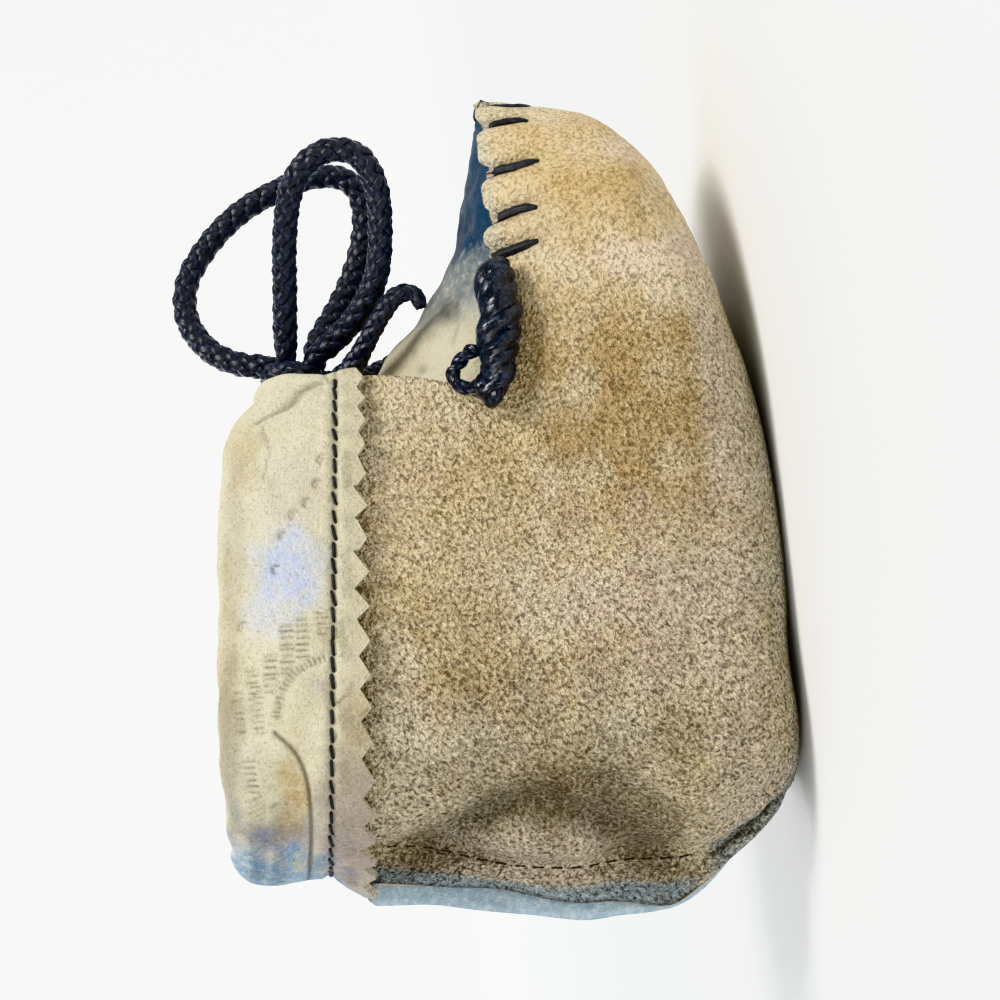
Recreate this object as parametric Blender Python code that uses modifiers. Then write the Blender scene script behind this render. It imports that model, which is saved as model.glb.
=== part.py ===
"""Baby moccasin: a one-piece suede wrap with a tooled leather apron and cuff, and a braided tie.

The shoe stands on its bottom, toe towards +X, the wearer's left towards +Y, +Z up. The origin is
on the floor, midway between the back of the heel seam and the tip of the toe. Lengths in the
tables are millimetres; "along" is measured forward from the back of the heel seam.
"""

import math
from collections import namedtuple

import bmesh
import bpy
from mathutils import Vector

MM = 0.001
LENGTH = 114.9 * MM          # back of the heel seam to the tip of the toe
GAP = 0.3 * MM               # clearance between pieces that touch

# Leather thicknesses
SUEDE = 1.6 * MM
APRON_LEATHER = 1.4 * MM
CUFF_LEATHER = 1.1 * MM
SOCK = 1.2 * MM

# Level sections of the last, from the floor up
Section = namedtuple(
    "Section", "height heel_at throat_at toe_at heel_half ball_half ball_at heel_round")
SECTIONS = [
    Section(0.0, 19.0, 48.0, 68.0, 13.5, 15.5, 50.0, 2.0),
    Section(1.0, 15.2, 53.0, 74.0, 16.8, 19.5, 55.0, 1.95),
    Section(3.0, 12.2, 60.0, 83.0, 18.8, 22.6, 61.0, 1.9),
    Section(6.0, 9.4, 66.0, 94.5, 20.2, 25.2, 66.0, 1.8),
    Section(10.0, 6.6, 69.5, 103.6, 21.0, 27.0, 69.0, 1.7),
    Section(15.0, 4.0, 71.0, 109.6, 21.4, 27.6, 70.0, 1.6),
    Section(20.0, 3.2, 71.5, 112.4, 21.4, 26.9, 70.0, 1.6),
    Section(27.0, 4.1, 71.7, 114.2, 21.1, 24.0, 70.0, 1.6),
    Section(33.0, 4.3, 71.7, 114.9, 20.7, 20.0, 70.0, 1.6),
    Section(40.0, 5.7, 73.4, 99.0, 20.1, 18.8, 63.0, 1.6),
    Section(46.0, 7.4, 75.6, 88.0, 19.6, 18.0, 59.0, 1.7),
    Section(52.0, 9.0, 77.0, 83.0, 19.1, 17.5, 56.0, 1.85),
    Section(57.0, 10.1, 77.6, 81.4, 18.7, 17.3, 55.0, 2.0),
    Section(66.0, 12.0, 77.8, 80.6, 18.1, 17.0, 53.0, 2.1),
    Section(80.0, 13.4, 77.8, 80.4, 17.6, 16.8, 52.0, 2.1),
]
TOE_ROUNDNESS = 2.4          # superellipse power of the toe; heel_round is the heel's
PLAN_STEPS = 40              # points of a section's plan over the heel, and over the middle
TIP_STEPS = 60               # and from the ball to the tip of the toe
QUARTER_STEPS = 16           # grid steps from the heel seam to the throat
TOE_STEPS = 12               # and from the throat to the tip of the toe

# Rings of the wrap below the apron seam, and the seam's height at the throat and the toe
BOWL_HEIGHTS = [0.0, 0.8, 2.2, 4.5, 6.6, 8.5, 10.5, 14.0, 18.0, 23.0, 28.0]
SEAM_AT_THROAT = 36.5
SEAM_AT_TOE = 31.7
SEAM_FALL = 1.5              # how quickly the seam drops forward of the throat
QUARTER_BANDS = 5

# Machine stitch line of the cuff, straight from the back down to the front
STITCH_BACK = (9.2, 66.8)
STITCH_FALL = 0.144
WRAP_ABOVE_STITCH = 1.5
COLLAR_LEVEL = 61.8          # level whose plan gives the places round the collar

# Cross seam low on the heel, and the standing seam up the centre back
RIB_HEIGHT = 8.5
RIB_SPREAD = 1.9
RIB_PROUD = 1.3
RIB_SHARE = 0.34             # share of the quarter that the rib runs along
FLANGE_PROUD = 4.2
FLANGE_HALF = 1.65
FLANGE_FOOT = (9.0, 25.0)    # heights between which it grows to its full width
FLANGE_TOP = 60.0
FLANGE_BITE = 0.8            # how deep it roots into the wall
FLANGE_STEPS = 18

# Apron: crown line of the plug, then rows of the tongue
Crown = namedtuple("Crown", "along height")
APRON_CROWN = [
    Crown(112.8, 31.7),
    Crown(109.0, 33.0),
    Crown(103.5, 34.9),
    Crown(98.0, 36.6),
    Crown(92.9, 39.0),
    Crown(89.0, 41.7),
    Crown(83.3, 46.9),
]
Tongue = namedtuple("Tongue", "crown_at crown_height edge_at edge_half edge_height")
TONGUE_ROWS = [
    Tongue(78.3, 50.8, 67.0, 14.9, 41.5),
    Tongue(73.0, 56.0, 63.0, 13.8, 48.0),
    Tongue(69.2, 60.8, 60.4, 12.3, 54.0),
    Tongue(66.6, 65.6, 59.6, 10.2, 60.0),
]
APRON_INSET = SUEDE + GAP + 0.35 * MM
APRON_BELOW_RIM = 0.5
APRON_COLUMNS = 7            # from the crown to one edge
APRON_ROWS = 13
CROWN_LEAD = 11.6            # how far the crown point leads its edge at the throat
CROWN_CLOSING = 1.3          # how quickly that lead runs out towards the toe
TIP_SHARE = 0.97            # the last row stops just short of the tip

# Cuff: top line of the fold, and its lower edge under the stitch line
CuffTop = namedtuple("CuffTop", "along height")
CUFF_TOP = [
    CuffTop(12.0, 79.4),
    CuffTop(23.6, 79.2),
    CuffTop(46.2, 76.9),
    CuffTop(64.1, 74.0),
    CuffTop(71.5, 71.9),
    CuffTop(77.8, 66.8),
]
# Cross-section of the folded strip: distance out from the wrap's face, and share of the
# height between the stitch line and the fold
Fold = namedtuple("Fold", "out share")
CUFF_FOLD = [
    Fold(1.7, 0.12),
    Fold(2.0, 0.35),
    Fold(2.2, 0.65),
    Fold(1.5, 0.88),
    Fold(-0.8, 1.0),
    Fold(-3.1, 0.88),
    Fold(-4.1, 0.65),
    Fold(-4.0, 0.35),
    Fold(-3.4, 0.12),
]
FLAP_FRONT = 4.2             # pinked flap below the stitch line
FLAP_BACK = 6.2
CUFF_INNER_HEM = 3.0
CUFF_GAP = 0.55 * MM        # over the wrap, whose facets stand off the true curve

# Sock
SOCK_SECTION = Section(0.0, 20.0, 60.0, 97.0, 14.0, 17.0, 60.0, 2.0)
SOCK_COLUMNS = 5
SOCK_ROWS = 12
SOCK_FIRST = 0.04            # first row's share of the half turn from heel to toe
SOCK_RISE = 0.12             # its edge rides this much higher on the wrap's curve

# Tie cord
CORD = 3.4 * MM
RUN_CORD = 3.0 * MM          # the cord as the casing squeezes it
RUN_OUT = -0.95              # its place in the casing
RUN_BELOW_TOP = 5.0
RUN_STEPS = 14               # points from the mouth of the casing to the heel
RUN_FRONT = 0.985            # share round the collar where it enters the casing
RUN_STEP = 5.4 * MM
CORD_SIDES = 2               # bevel resolution, eight sides
KNOT_CENTRE = (78.6, 0.0, 61.8)
KNOT_SIZE = (7.6, 8.6, 8.0)
KNOT_SEGMENTS = 14
KNOT_RINGS = 9
BOW_STEP = 6.8 * MM
RUN_END = (78.6, 4.9, 61.8)

# Routes of the bow: along, across (+ is the wearer's left) and height
LOOP_RIGHT = [
    (82.6, -2.1, 63.0), (86.6, -3.7, 62.6), (92.0, -5.6, 61.9), (97.6, -7.4, 61.2),
    (103.4, -9.2, 59.8), (107.4, -10.2, 57.4), (109.2, -10.6, 53.6), (108.0, -10.4, 49.6),
    (103.6, -9.6, 47.7), (97.4, -8.2, 47.9), (91.4, -6.8, 49.3), (86.9, -5.2, 52.4),
    (84.0, -3.4, 56.0), (82.4, -2.4, 58.6),
]
LOOP_LEFT = [
    (82.2, 2.6, 65.0), (83.4, 4.4, 69.2), (86.2, 6.4, 73.4), (91.2, 8.4, 76.0),
    (97.0, 10.2, 75.4), (102.6, 11.6, 71.4), (106.8, 12.4, 66.2), (109.2, 12.6, 60.6),
    (110.4, 12.6, 56.0), (109.9, 12.6, 51.6), (107.4, 12.5, 49.2), (103.0, 12.3, 49.0),
    (98.6, 11.8, 50.2), (94.2, 10.4, 52.2), (90.0, 8.2, 54.8), (86.4, 5.8, 57.4),
    (84.2, 4.0, 58.6), (82.4, 2.5, 58.7),
]
END_RIGHT = [
    (78.4, -2.2, 57.5), (78.8, -4.7, 55.2), (80.6, -6.8, 53.3), (83.2, -8.4, 51.3),
    (85.9, -9.8, 49.2), (88.0, -10.8, 46.9), (87.8, -11.5, 44.6), (86.0, -12.0, 44.0),
]
END_LEFT = [
    (78.5, 2.2, 57.5), (78.9, 5.0, 54.8), (80.2, 9.2, 50.4), (82.8, 13.2, 45.2),
    (86.6, 17.0, 40.2), (90.8, 20.4, 35.2), (93.8, 23.0, 29.4), (95.4, 24.8, 23.6),
]

# Thong beside the throat: route on the wrap's face, and radius at each point
THONG_CLEAR = 1.22           # its centre stands off the sloping face by this many radii
THONG_LIFT = 0.35
THONG_STEP = 1.5 * MM
Thong = namedtuple("Thong", "along height radius")
THONG_RIGHT = [
    Thong(90.6, 32.2, 0.9), Thong(88.2, 32.4, 2.0), Thong(85.2, 32.8, 2.6),
    Thong(82.2, 33.2, 2.6), Thong(79.4, 34.0, 2.7), Thong(76.6, 35.4, 3.3),
    Thong(73.8, 36.8, 3.9), Thong(71.2, 37.6, 3.3), Thong(69.4, 38.2, 1.6),
]
THONG_LEFT = [
    Thong(88.8, 31.6, 0.9), Thong(86.6, 31.4, 2.2), Thong(84.0, 31.8, 1.1),
    Thong(81.0, 32.6, 2.2), Thong(77.6, 33.2, 1.1), Thong(74.0, 34.4, 2.2),
    Thong(71.4, 36.4, 1.1), Thong(69.4, 39.0, 2.0), Thong(68.0, 41.0, 0.9),
]

FINISHES = {
    "suede": dict(color=(0.52, 0.38, 0.22, 1.0), roughness=0.95),
    "tooled_leather": dict(color=(0.70, 0.60, 0.42, 1.0), roughness=0.6),
    "sock": dict(color=(0.45, 0.33, 0.20, 1.0), roughness=0.95),
    "thong": dict(color=(0.012, 0.013, 0.02, 1.0), roughness=0.5),
    "braid": dict(color=(0.010, 0.011, 0.016, 1.0), roughness=0.45),
}


# ---------------------------------------------------------------- the last

def hermite(xs, ys, x):
    """Smooth curve through a short table of values, read at x."""
    if x <= xs[0]:
        return ys[0]
    if x >= xs[-1]:
        return ys[-1]
    i = max(k for k in range(len(xs) - 1) if xs[k] <= x)

    def slope(k):
        low = max(k - 1, 0)
        high = min(k + 1, len(xs) - 1)
        turns = (ys[k] - ys[low]) * (ys[high] - ys[k]) < 0
        return 0.0 if turns else (ys[high] - ys[low]) / (xs[high] - xs[low])

    span = xs[i + 1] - xs[i]
    t = (x - xs[i]) / span
    rise = ys[i + 1] - ys[i]
    a = slope(i) * span
    b = slope(i + 1) * span
    return ys[i] + t * (a + t * ((3 * rise - 2 * a - b) + t * (a + b - 2 * rise)))


def smoothstep(t):
    t = min(max(t, 0.0), 1.0)
    return t * t * (3 - 2 * t)


def section_at(height):
    heights = [row.height for row in SECTIONS]
    values = [hermite(heights, [row[k] for row in SECTIONS], height)
              for k in range(1, len(Section._fields))]
    return Section(height, *values)


def half_width(section, along, inset=0.0):
    """Half the width of a level section at a distance along the shoe."""
    heel_half = section.heel_half - inset
    ball_half = section.ball_half - inset
    heel_at = section.heel_at + inset
    toe_at = section.toe_at - inset
    heel_centre = section.heel_at + section.heel_half
    if along <= heel_at or along >= toe_at:
        return 0.0
    if along < heel_centre:
        t = (heel_centre - along) / (heel_centre - heel_at)
        return heel_half * (1 - t ** section.heel_round) ** (1 / section.heel_round)
    if along > section.ball_at:
        t = (along - section.ball_at) / (toe_at - section.ball_at)
        return ball_half * (1 - t ** TOE_ROUNDNESS) ** (1 / TOE_ROUNDNESS)
    t = (along - heel_centre) / (section.ball_at - heel_centre)
    return heel_half + (ball_half - heel_half) * smoothstep(t)


OUTLINES = {}


def outline(height):
    """Half of a level section as (along, half) points, heel to toe, with its length so far."""
    key = round(height, 4)
    if key in OUTLINES:
        return OUTLINES[key]
    section = section_at(height)
    heel_centre = section.heel_at + section.heel_half
    points = []
    for i in range(PLAN_STEPS):
        turn = math.pi / 2 * i / PLAN_STEPS
        t = math.cos(turn) ** (2 / section.heel_round)
        points.append((heel_centre - section.heel_half * t,
                       section.heel_half * math.sin(turn) ** (2 / section.heel_round)))
    for i in range(PLAN_STEPS):
        along = heel_centre + (section.ball_at - heel_centre) * i / PLAN_STEPS
        points.append((along, half_width(section, along)))
    for i in range(TIP_STEPS + 1):
        turn = math.pi / 2 * i / TIP_STEPS
        t = math.sin(turn) ** (2 / TOE_ROUNDNESS)
        points.append((section.ball_at + (section.toe_at - section.ball_at) * t,
                       section.ball_half * max(math.cos(turn), 0.0) ** (2 / TOE_ROUNDNESS)))
    lengths = [0.0]
    for one, two in zip(points, points[1:]):
        lengths.append(lengths[-1] + math.dist(one, two))
    throat = next(k for k, point in enumerate(points) if point[0] >= section.throat_at)
    before = points[throat - 1][0]
    t = (section.throat_at - before) / (points[throat][0] - before)
    throat_length = lengths[throat - 1] + t * (lengths[throat] - lengths[throat - 1])
    OUTLINES[key] = (points, lengths, throat_length)
    return OUTLINES[key]


def station(height, share):
    """Point (along, half) of a level section: share 0 is the heel seam, 1 the throat, 2 the toe."""
    points, lengths, throat_length = outline(height)
    if share <= 1:
        wanted = share * throat_length
    else:
        wanted = throat_length + (share - 1) * (lengths[-1] - throat_length)
    i = next((k for k in range(len(lengths) - 1) if lengths[k + 1] >= wanted), len(lengths) - 2)
    t = (wanted - lengths[i]) / (lengths[i + 1] - lengths[i])
    one = points[i]
    two = points[i + 1]
    return one[0] + t * (two[0] - one[0]), one[1] + t * (two[1] - one[1])


def outward(height, share):
    """Unit vector out of a level section, as (along, half)."""
    step = 0.01
    back = station(height, max(share - step, 0.0))
    ahead = station(height, min(share + step, 2.0))
    along = ahead[0] - back[0]
    half = ahead[1] - back[1]
    if share < step:
        return -1.0, 0.0
    if share > 2 - step:
        return 1.0, 0.0
    size = math.hypot(along, half)
    return -half / size, along / size


def place(along, across, height):
    """A point of the shoe in metres, from millimetres."""
    return Vector((along * MM - LENGTH / 2, across * MM, height * MM))


def skin(height, share, out=0.0):
    """Point on the wearer's right, out from the wrap's outer face."""
    along, half = station(height, share)
    normal = outward(height, share)
    fade = 1 - smoothstep((share - RIB_SHARE * 0.6) / (RIB_SHARE * 0.4))
    rib = RIB_PROUD * fade * math.exp(-((height - RIB_HEIGHT) / RIB_SPREAD) ** 2)
    out = out + rib
    return place(along + normal[0] * out, min(-(half + normal[1] * out), 0.0), height)


def seam_height(share):
    if share <= 1:
        return SEAM_AT_THROAT
    return SEAM_AT_TOE + (SEAM_AT_THROAT - SEAM_AT_TOE) * (2 - share) ** SEAM_FALL


def stitch_height(along):
    return STITCH_BACK[1] - (along - STITCH_BACK[0]) * STITCH_FALL


def rim_height(share):
    """Top edge of the wrap round the collar, just above the cuff's stitch line."""
    along = station(COLLAR_LEVEL, share)[0]
    return stitch_height(along) + WRAP_ABOVE_STITCH


def floor_height(along, across):
    """Height of the wrap's underside over a point of the floor plan."""
    low = 0.0
    high = SEAM_AT_TOE
    across = max(abs(across), 0.5)
    if half_width(section_at(low), along) >= across:
        return low
    for _ in range(30):
        middle = (low + high) / 2
        if half_width(section_at(middle), along) >= across:
            high = middle
        else:
            low = middle
    return high


# ---------------------------------------------------------------- making objects

def clear_scene():
    for thing in list(bpy.data.objects):
        bpy.data.objects.remove(thing, do_unlink=True)


def collection(name):
    made = bpy.data.collections.new(name)
    bpy.context.scene.collection.children.link(made)
    return made


def finish(name):
    material = bpy.data.materials.new(name)
    material.use_nodes = True
    shader = material.node_tree.nodes["Principled BSDF"]
    shader.inputs["Base Color"].default_value = FINISHES[name]["color"]
    shader.inputs["Roughness"].default_value = FINISHES[name]["roughness"]
    shader.inputs["Metallic"].default_value = 0.0
    return material


def add_object(name, data, parts, material=None):
    thing = bpy.data.objects.new(name, data)
    parts.objects.link(thing)
    if material is not None:
        data.materials.append(material)
    return thing


def grid_mesh(name, grid, skip=None, floor=False):
    """Quads over rows of points; skip(row, column) leaves a quad out, floor closes the first row."""
    shape = bmesh.new()
    rows = [[shape.verts.new(point) for point in row] for row in grid]
    for i in range(len(rows) - 1):
        for j in range(len(rows[i]) - 1):
            if skip is None or not skip(i, j):
                shape.faces.new((rows[i][j], rows[i][j + 1], rows[i + 1][j + 1], rows[i + 1][j]))
    if floor:
        shape.faces.new(list(reversed(rows[0])))
    loose = [vert for vert in shape.verts if not vert.link_faces]
    bmesh.ops.delete(shape, geom=loose, context="VERTS")
    mesh = bpy.data.meshes.new(name)
    shape.to_mesh(mesh)
    shape.free()
    return mesh


def mirror(thing):
    change = thing.modifiers.new("Mirror", "MIRROR")
    change.use_axis = (False, True, False)
    change.use_clip = True
    change.merge_threshold = 0.00005


def thicken(thing, thickness):
    change = thing.modifiers.new("Solidify", "SOLIDIFY")
    change.thickness = thickness
    change.offset = -1.0
    change.use_even_offset = True


def smooth_route(route, spacing):
    """Points a fixed distance apart on a smooth curve through the route's own points."""
    steps = 24
    places = [Vector(point) for point in route]
    ends = [2 * places[0] - places[1]] + places + [2 * places[-1] - places[-2]]
    fine = []
    for i in range(len(places) - 1):
        a, b, c, d = ends[i:i + 4]
        for k in range(steps):
            t = k / steps
            fine.append(0.5 * (2 * b + (c - a) * t + (2 * a - 5 * b + 4 * c - d) * t ** 2
                               + (3 * b - a - 3 * c + d) * t ** 3))
    fine.append(places[-1])
    length = sum((two - one).length for one, two in zip(fine, fine[1:]))
    count = max(2, round(length / spacing))
    out = [fine[0]]
    walked = 0.0
    for one, two in zip(fine, fine[1:]):
        walked += (two - one).length
        if walked >= length * len(out) / count and len(out) < count:
            out.append(two)
    out.append(fine[-1])
    return out


def cord(name, points, diameter, parts, material, radii=None):
    """A round cord as a straight-sided curve with filled ends."""
    curve = bpy.data.curves.new(name, "CURVE")
    curve.dimensions = "3D"
    curve.bevel_depth = diameter / 2
    curve.bevel_resolution = CORD_SIDES
    curve.use_fill_caps = True
    spline = curve.splines.new("POLY")
    spline.points.add(len(points) - 1)
    for i, point in enumerate(points):
        spline.points[i].co = (*point, 1.0)
        spline.points[i].radius = radii[i] if radii else 1.0
    return add_object(name, curve, parts, material)


# ---------------------------------------------------------------- the pieces

def heel_flange(cutters):
    """Plate of the standing heel seam, to be joined to the wrap."""
    heights = [FLANGE_FOOT[0] + (FLANGE_TOP - FLANGE_FOOT[0]) * i / FLANGE_STEPS
               for i in range(FLANGE_STEPS + 1)]
    back = []
    root = []
    for height in heights:
        heel_at = section_at(height).heel_at
        grown = smoothstep((height - FLANGE_FOOT[0]) / (FLANGE_FOOT[1] - FLANGE_FOOT[0]))
        rib = RIB_PROUD * math.exp(-((height - RIB_HEIGHT) / RIB_SPREAD) ** 2)
        back.append((heel_at - max(FLANGE_PROUD * grown, rib * 0.5), height))
        root.append((heel_at + FLANGE_BITE, height))
    shape = bmesh.new()
    ring = [shape.verts.new(place(along, -FLANGE_HALF, height))
            for along, height in back + list(reversed(root))]
    face = shape.faces.new(ring)
    made = bmesh.ops.extrude_face_region(shape, geom=[face])
    moved = [item for item in made["geom"] if isinstance(item, bmesh.types.BMVert)]
    bmesh.ops.translate(shape, vec=(0.0, 2 * FLANGE_HALF * MM, 0.0), verts=moved)
    bmesh.ops.recalc_face_normals(shape, faces=shape.faces)
    mesh = bpy.data.meshes.new("heel_flange_form")
    shape.to_mesh(mesh)
    shape.free()
    form = add_object("heel_flange_form", mesh, cutters)
    form.display_type = "WIRE"
    form.hide_render = True
    return form


def upper(parts, cutters, material):
    """The suede wrap: bottom, sides, quarters and heel in one piece."""
    quarter = [i / QUARTER_STEPS for i in range(QUARTER_STEPS + 1)]
    toe = [1 + i / TOE_STEPS for i in range(1, TOE_STEPS + 1)]
    shares = quarter + toe
    grid = [[skin(height, share) for share in shares] for height in BOWL_HEIGHTS]
    grid.append([skin(seam_height(share), share) for share in shares])
    for band in range(1, QUARTER_BANDS + 1):
        row = []
        for share in shares:
            seam = seam_height(share)
            top = max(rim_height(min(share, 1.0)), seam)
            row.append(skin(seam + (top - seam) * band / QUARTER_BANDS, min(share, 1.0)))
        grid.append(row)
    seam_row = len(BOWL_HEIGHTS)
    mesh = grid_mesh("upper", grid, lambda i, j: i >= seam_row and j >= QUARTER_STEPS, floor=True)
    thing = add_object("upper", mesh, parts, material)
    mirror(thing)
    thicken(thing, SUEDE)
    join = thing.modifiers.new("Heel seam", "BOOLEAN")
    join.operation = "UNION"
    join.solver = "EXACT"
    join.object = heel_flange(cutters)
    return thing


def apron_rows():
    """Crown and edge points of the apron and tongue, toe first, as (along, half, height)."""
    crown_along = [row.along for row in reversed(APRON_CROWN)]
    crown_height = [row.height for row in reversed(APRON_CROWN)]
    inset = APRON_INSET / MM
    rows = []
    for i in range(APRON_ROWS):
        share = 1 + TIP_SHARE * (1 - i / (APRON_ROWS - 1))
        height = seam_height(share)
        along, half = station(height, share)
        normal = outward(height, share)
        edge = (along - normal[0] * inset, half - normal[1] * inset, height - APRON_BELOW_RIM)
        lead = CROWN_LEAD * (2 - share) ** CROWN_CLOSING
        crown_at = min(edge[0] + lead, APRON_CROWN[0].along)
        rows.append(((crown_at, hermite(crown_along, crown_height, crown_at)), edge))
    for row in TONGUE_ROWS:
        rows.append(((row.crown_at, row.crown_height),
                     (row.edge_at, row.edge_half, row.edge_height)))
    return rows


def apron(parts, material):
    """Plug over the toes and tongue in one piece of leather."""
    grid = []
    for crown, edge in apron_rows():
        line = []
        for j in range(APRON_COLUMNS + 1):
            across = 1 - j / APRON_COLUMNS
            bow = across ** 2
            line.append(place(crown[0] + (edge[0] - crown[0]) * bow, -edge[1] * across,
                              crown[1] + (edge[2] - crown[1]) * bow))
        grid.append(line)
    thing = add_object("apron", grid_mesh("apron", grid), parts, material)
    mirror(thing)
    thicken(thing, APRON_LEATHER)
    return thing


def cuff_top(along):
    return hermite([row.along for row in CUFF_TOP], [row.height for row in CUFF_TOP], along)


def cuff_line(share):
    """Cross-section of the cuff at one place round the collar, outer edge first."""
    along = station(COLLAR_LEVEL, share)[0]
    stitch = stitch_height(along)
    top = cuff_top(along)
    face = (CUFF_LEATHER + CUFF_GAP) / MM
    inside = -(SUEDE + CUFF_GAP + CUFF_LEATHER) / MM
    flap = FLAP_BACK + (FLAP_FRONT - FLAP_BACK) * share
    line = [skin(stitch - flap, share, face), skin(stitch - flap / 2, share, face),
            skin(stitch, share, face)]
    for fold in CUFF_FOLD:
        line.append(skin(stitch + (top - stitch) * fold.share, share, fold.out))
    line.append(skin(stitch, share, inside))
    line.append(skin(stitch - CUFF_INNER_HEM, share, inside))
    return line


def cuff(parts, material):
    """Folded strip round the collar, open at the front, with the tie's casing in its fold."""
    lines = [cuff_line(i / QUARTER_STEPS) for i in range(QUARTER_STEPS + 1)]
    grid = [list(row) for row in zip(*lines)]
    thing = add_object("cuff", grid_mesh("cuff", grid), parts, material)
    mirror(thing)
    thicken(thing, CUFF_LEATHER)
    return thing


def insole(parts, material):
    """Thin sock lying on the bottom."""
    grid = []
    for i in range(SOCK_ROWS + 1):
        turn = math.pi * (SOCK_FIRST + (1 - 2 * SOCK_FIRST) * i / SOCK_ROWS)
        middle = (SOCK_SECTION.heel_at + SOCK_SECTION.toe_at) / 2
        reach = (SOCK_SECTION.toe_at - SOCK_SECTION.heel_at) / 2
        along = middle - reach * math.cos(turn)
        half = half_width(SOCK_SECTION, along)
        line = []
        for j in range(SOCK_COLUMNS + 1):
            across = half * (1 - j / SOCK_COLUMNS)
            under = floor_height(along, across)
            rise = SOCK_RISE if under > 0 else 0.0
            height = under + (SUEDE + GAP + SOCK) / MM + rise
            line.append(place(along, -across, height))
        grid.append(line)
    thing = add_object("insole", grid_mesh("insole", list(reversed(grid))), parts, material)
    mirror(thing)
    thicken(thing, SOCK)
    return thing


def tie_run(parts, material):
    """The tie cord inside the casing, from one side of the knot round the heel to the other."""
    half = []
    for i in range(RUN_STEPS + 1):
        share = RUN_FRONT * (1 - i / RUN_STEPS)
        along = station(COLLAR_LEVEL, share)[0]
        half.append(skin(cuff_top(along) - RUN_BELOW_TOP, share, RUN_OUT))
    right_end = place(RUN_END[0], -RUN_END[1], RUN_END[2])
    right = [right_end] + half
    left = [Vector((point.x, -point.y, point.z)) for point in reversed(right[:-1])]
    return cord("tie_run", smooth_route(right + left, RUN_STEP), RUN_CORD, parts, material)


def tie_bow(parts, material):
    """Knot, two loops and two ends."""
    bpy.ops.mesh.primitive_uv_sphere_add(segments=KNOT_SEGMENTS, ring_count=KNOT_RINGS, radius=0.5)
    knot = bpy.context.active_object
    knot.name = "tie_knot"
    knot.data.name = "tie_knot"
    knot.data.transform(knot.matrix_basis)
    for vert in knot.data.vertices:
        vert.co = Vector((vert.co.x * KNOT_SIZE[0], vert.co.y * KNOT_SIZE[1],
                          vert.co.z * KNOT_SIZE[2])) * MM
    knot.location = place(*KNOT_CENTRE)
    for holder in list(knot.users_collection):
        holder.objects.unlink(knot)
    parts.objects.link(knot)
    knot.data.materials.append(material)
    routes = {"tie_loop_right": LOOP_RIGHT, "tie_loop_left": LOOP_LEFT,
              "tie_end_right": END_RIGHT, "tie_end_left": END_LEFT}
    for name, route in routes.items():
        points = smooth_route([place(*point) for point in route], BOW_STEP)
        cord(name, points, CORD, parts, material)


def seam_lace(name, thongs, side, parts, material):
    """Knotted thong on the wrap's face beside the throat; side is -1 right, +1 left."""
    route = []
    for thong in thongs:
        half = half_width(section_at(thong.height), thong.along)
        out = (GAP / MM + thong.radius) * THONG_CLEAR
        point = place(thong.along, side * (half + out), thong.height + THONG_LIFT * out)
        route.append((*point, thong.radius * MM))
    points = smooth_route(route, THONG_STEP)
    radii = [point[3] / MM for point in points]
    return cord(name, [point[:3] for point in points], 2 * MM, parts, material, radii)


def build():
    clear_scene()
    parts = collection("baby_moccasin")
    cutters = collection("cutters")
    suede = finish("suede")
    leather = finish("tooled_leather")
    sock = finish("sock")
    thong = finish("thong")
    braid = finish("braid")
    upper(parts, cutters, suede)
    apron(parts, leather)
    cuff(parts, leather)
    insole(parts, sock)
    seam_lace("seam_lace_right", THONG_RIGHT, -1, parts, thong)
    seam_lace("seam_lace_left", THONG_LEFT, 1, parts, thong)
    tie_run(parts, braid)
    tie_bow(parts, braid)


build()
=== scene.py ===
# baby moccasin, standing empty: suede wrap, tooled leather cuff and apron, braided tie

import math
import random

import bmesh
import bpy
import numpy as np
from mathutils import Matrix, Vector


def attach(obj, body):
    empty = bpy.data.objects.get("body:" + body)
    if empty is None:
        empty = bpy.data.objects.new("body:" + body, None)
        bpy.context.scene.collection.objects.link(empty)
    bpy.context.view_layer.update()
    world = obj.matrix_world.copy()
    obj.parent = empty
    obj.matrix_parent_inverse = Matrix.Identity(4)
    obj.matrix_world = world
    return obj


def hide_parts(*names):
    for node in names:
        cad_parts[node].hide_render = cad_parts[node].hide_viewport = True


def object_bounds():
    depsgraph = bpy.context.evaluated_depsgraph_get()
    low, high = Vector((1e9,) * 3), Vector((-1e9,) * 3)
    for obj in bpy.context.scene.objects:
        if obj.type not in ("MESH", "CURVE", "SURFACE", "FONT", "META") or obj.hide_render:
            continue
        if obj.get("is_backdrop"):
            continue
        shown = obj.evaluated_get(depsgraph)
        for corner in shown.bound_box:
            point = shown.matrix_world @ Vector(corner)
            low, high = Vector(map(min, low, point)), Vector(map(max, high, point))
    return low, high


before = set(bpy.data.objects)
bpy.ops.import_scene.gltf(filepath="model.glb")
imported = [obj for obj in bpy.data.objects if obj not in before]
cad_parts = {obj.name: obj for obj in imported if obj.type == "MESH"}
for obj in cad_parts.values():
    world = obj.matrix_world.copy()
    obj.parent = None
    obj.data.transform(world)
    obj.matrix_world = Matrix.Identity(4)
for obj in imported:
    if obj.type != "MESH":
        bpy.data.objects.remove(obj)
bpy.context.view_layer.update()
rng = np.random.default_rng(7)
random.seed(7)

mm = 0.001
shoeLength = 114.9


def stageLine(text):
    print("stage:", text, flush=True)


# camera: the wearer's right side, from a little above and behind, rolled until the toe points up
view = dict(azimuth=-5.0, elevation=4.5, tilt=8.0, distance=0.42, lens=108.0, aim=(0.0017, 0.0, 0.0360))


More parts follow.
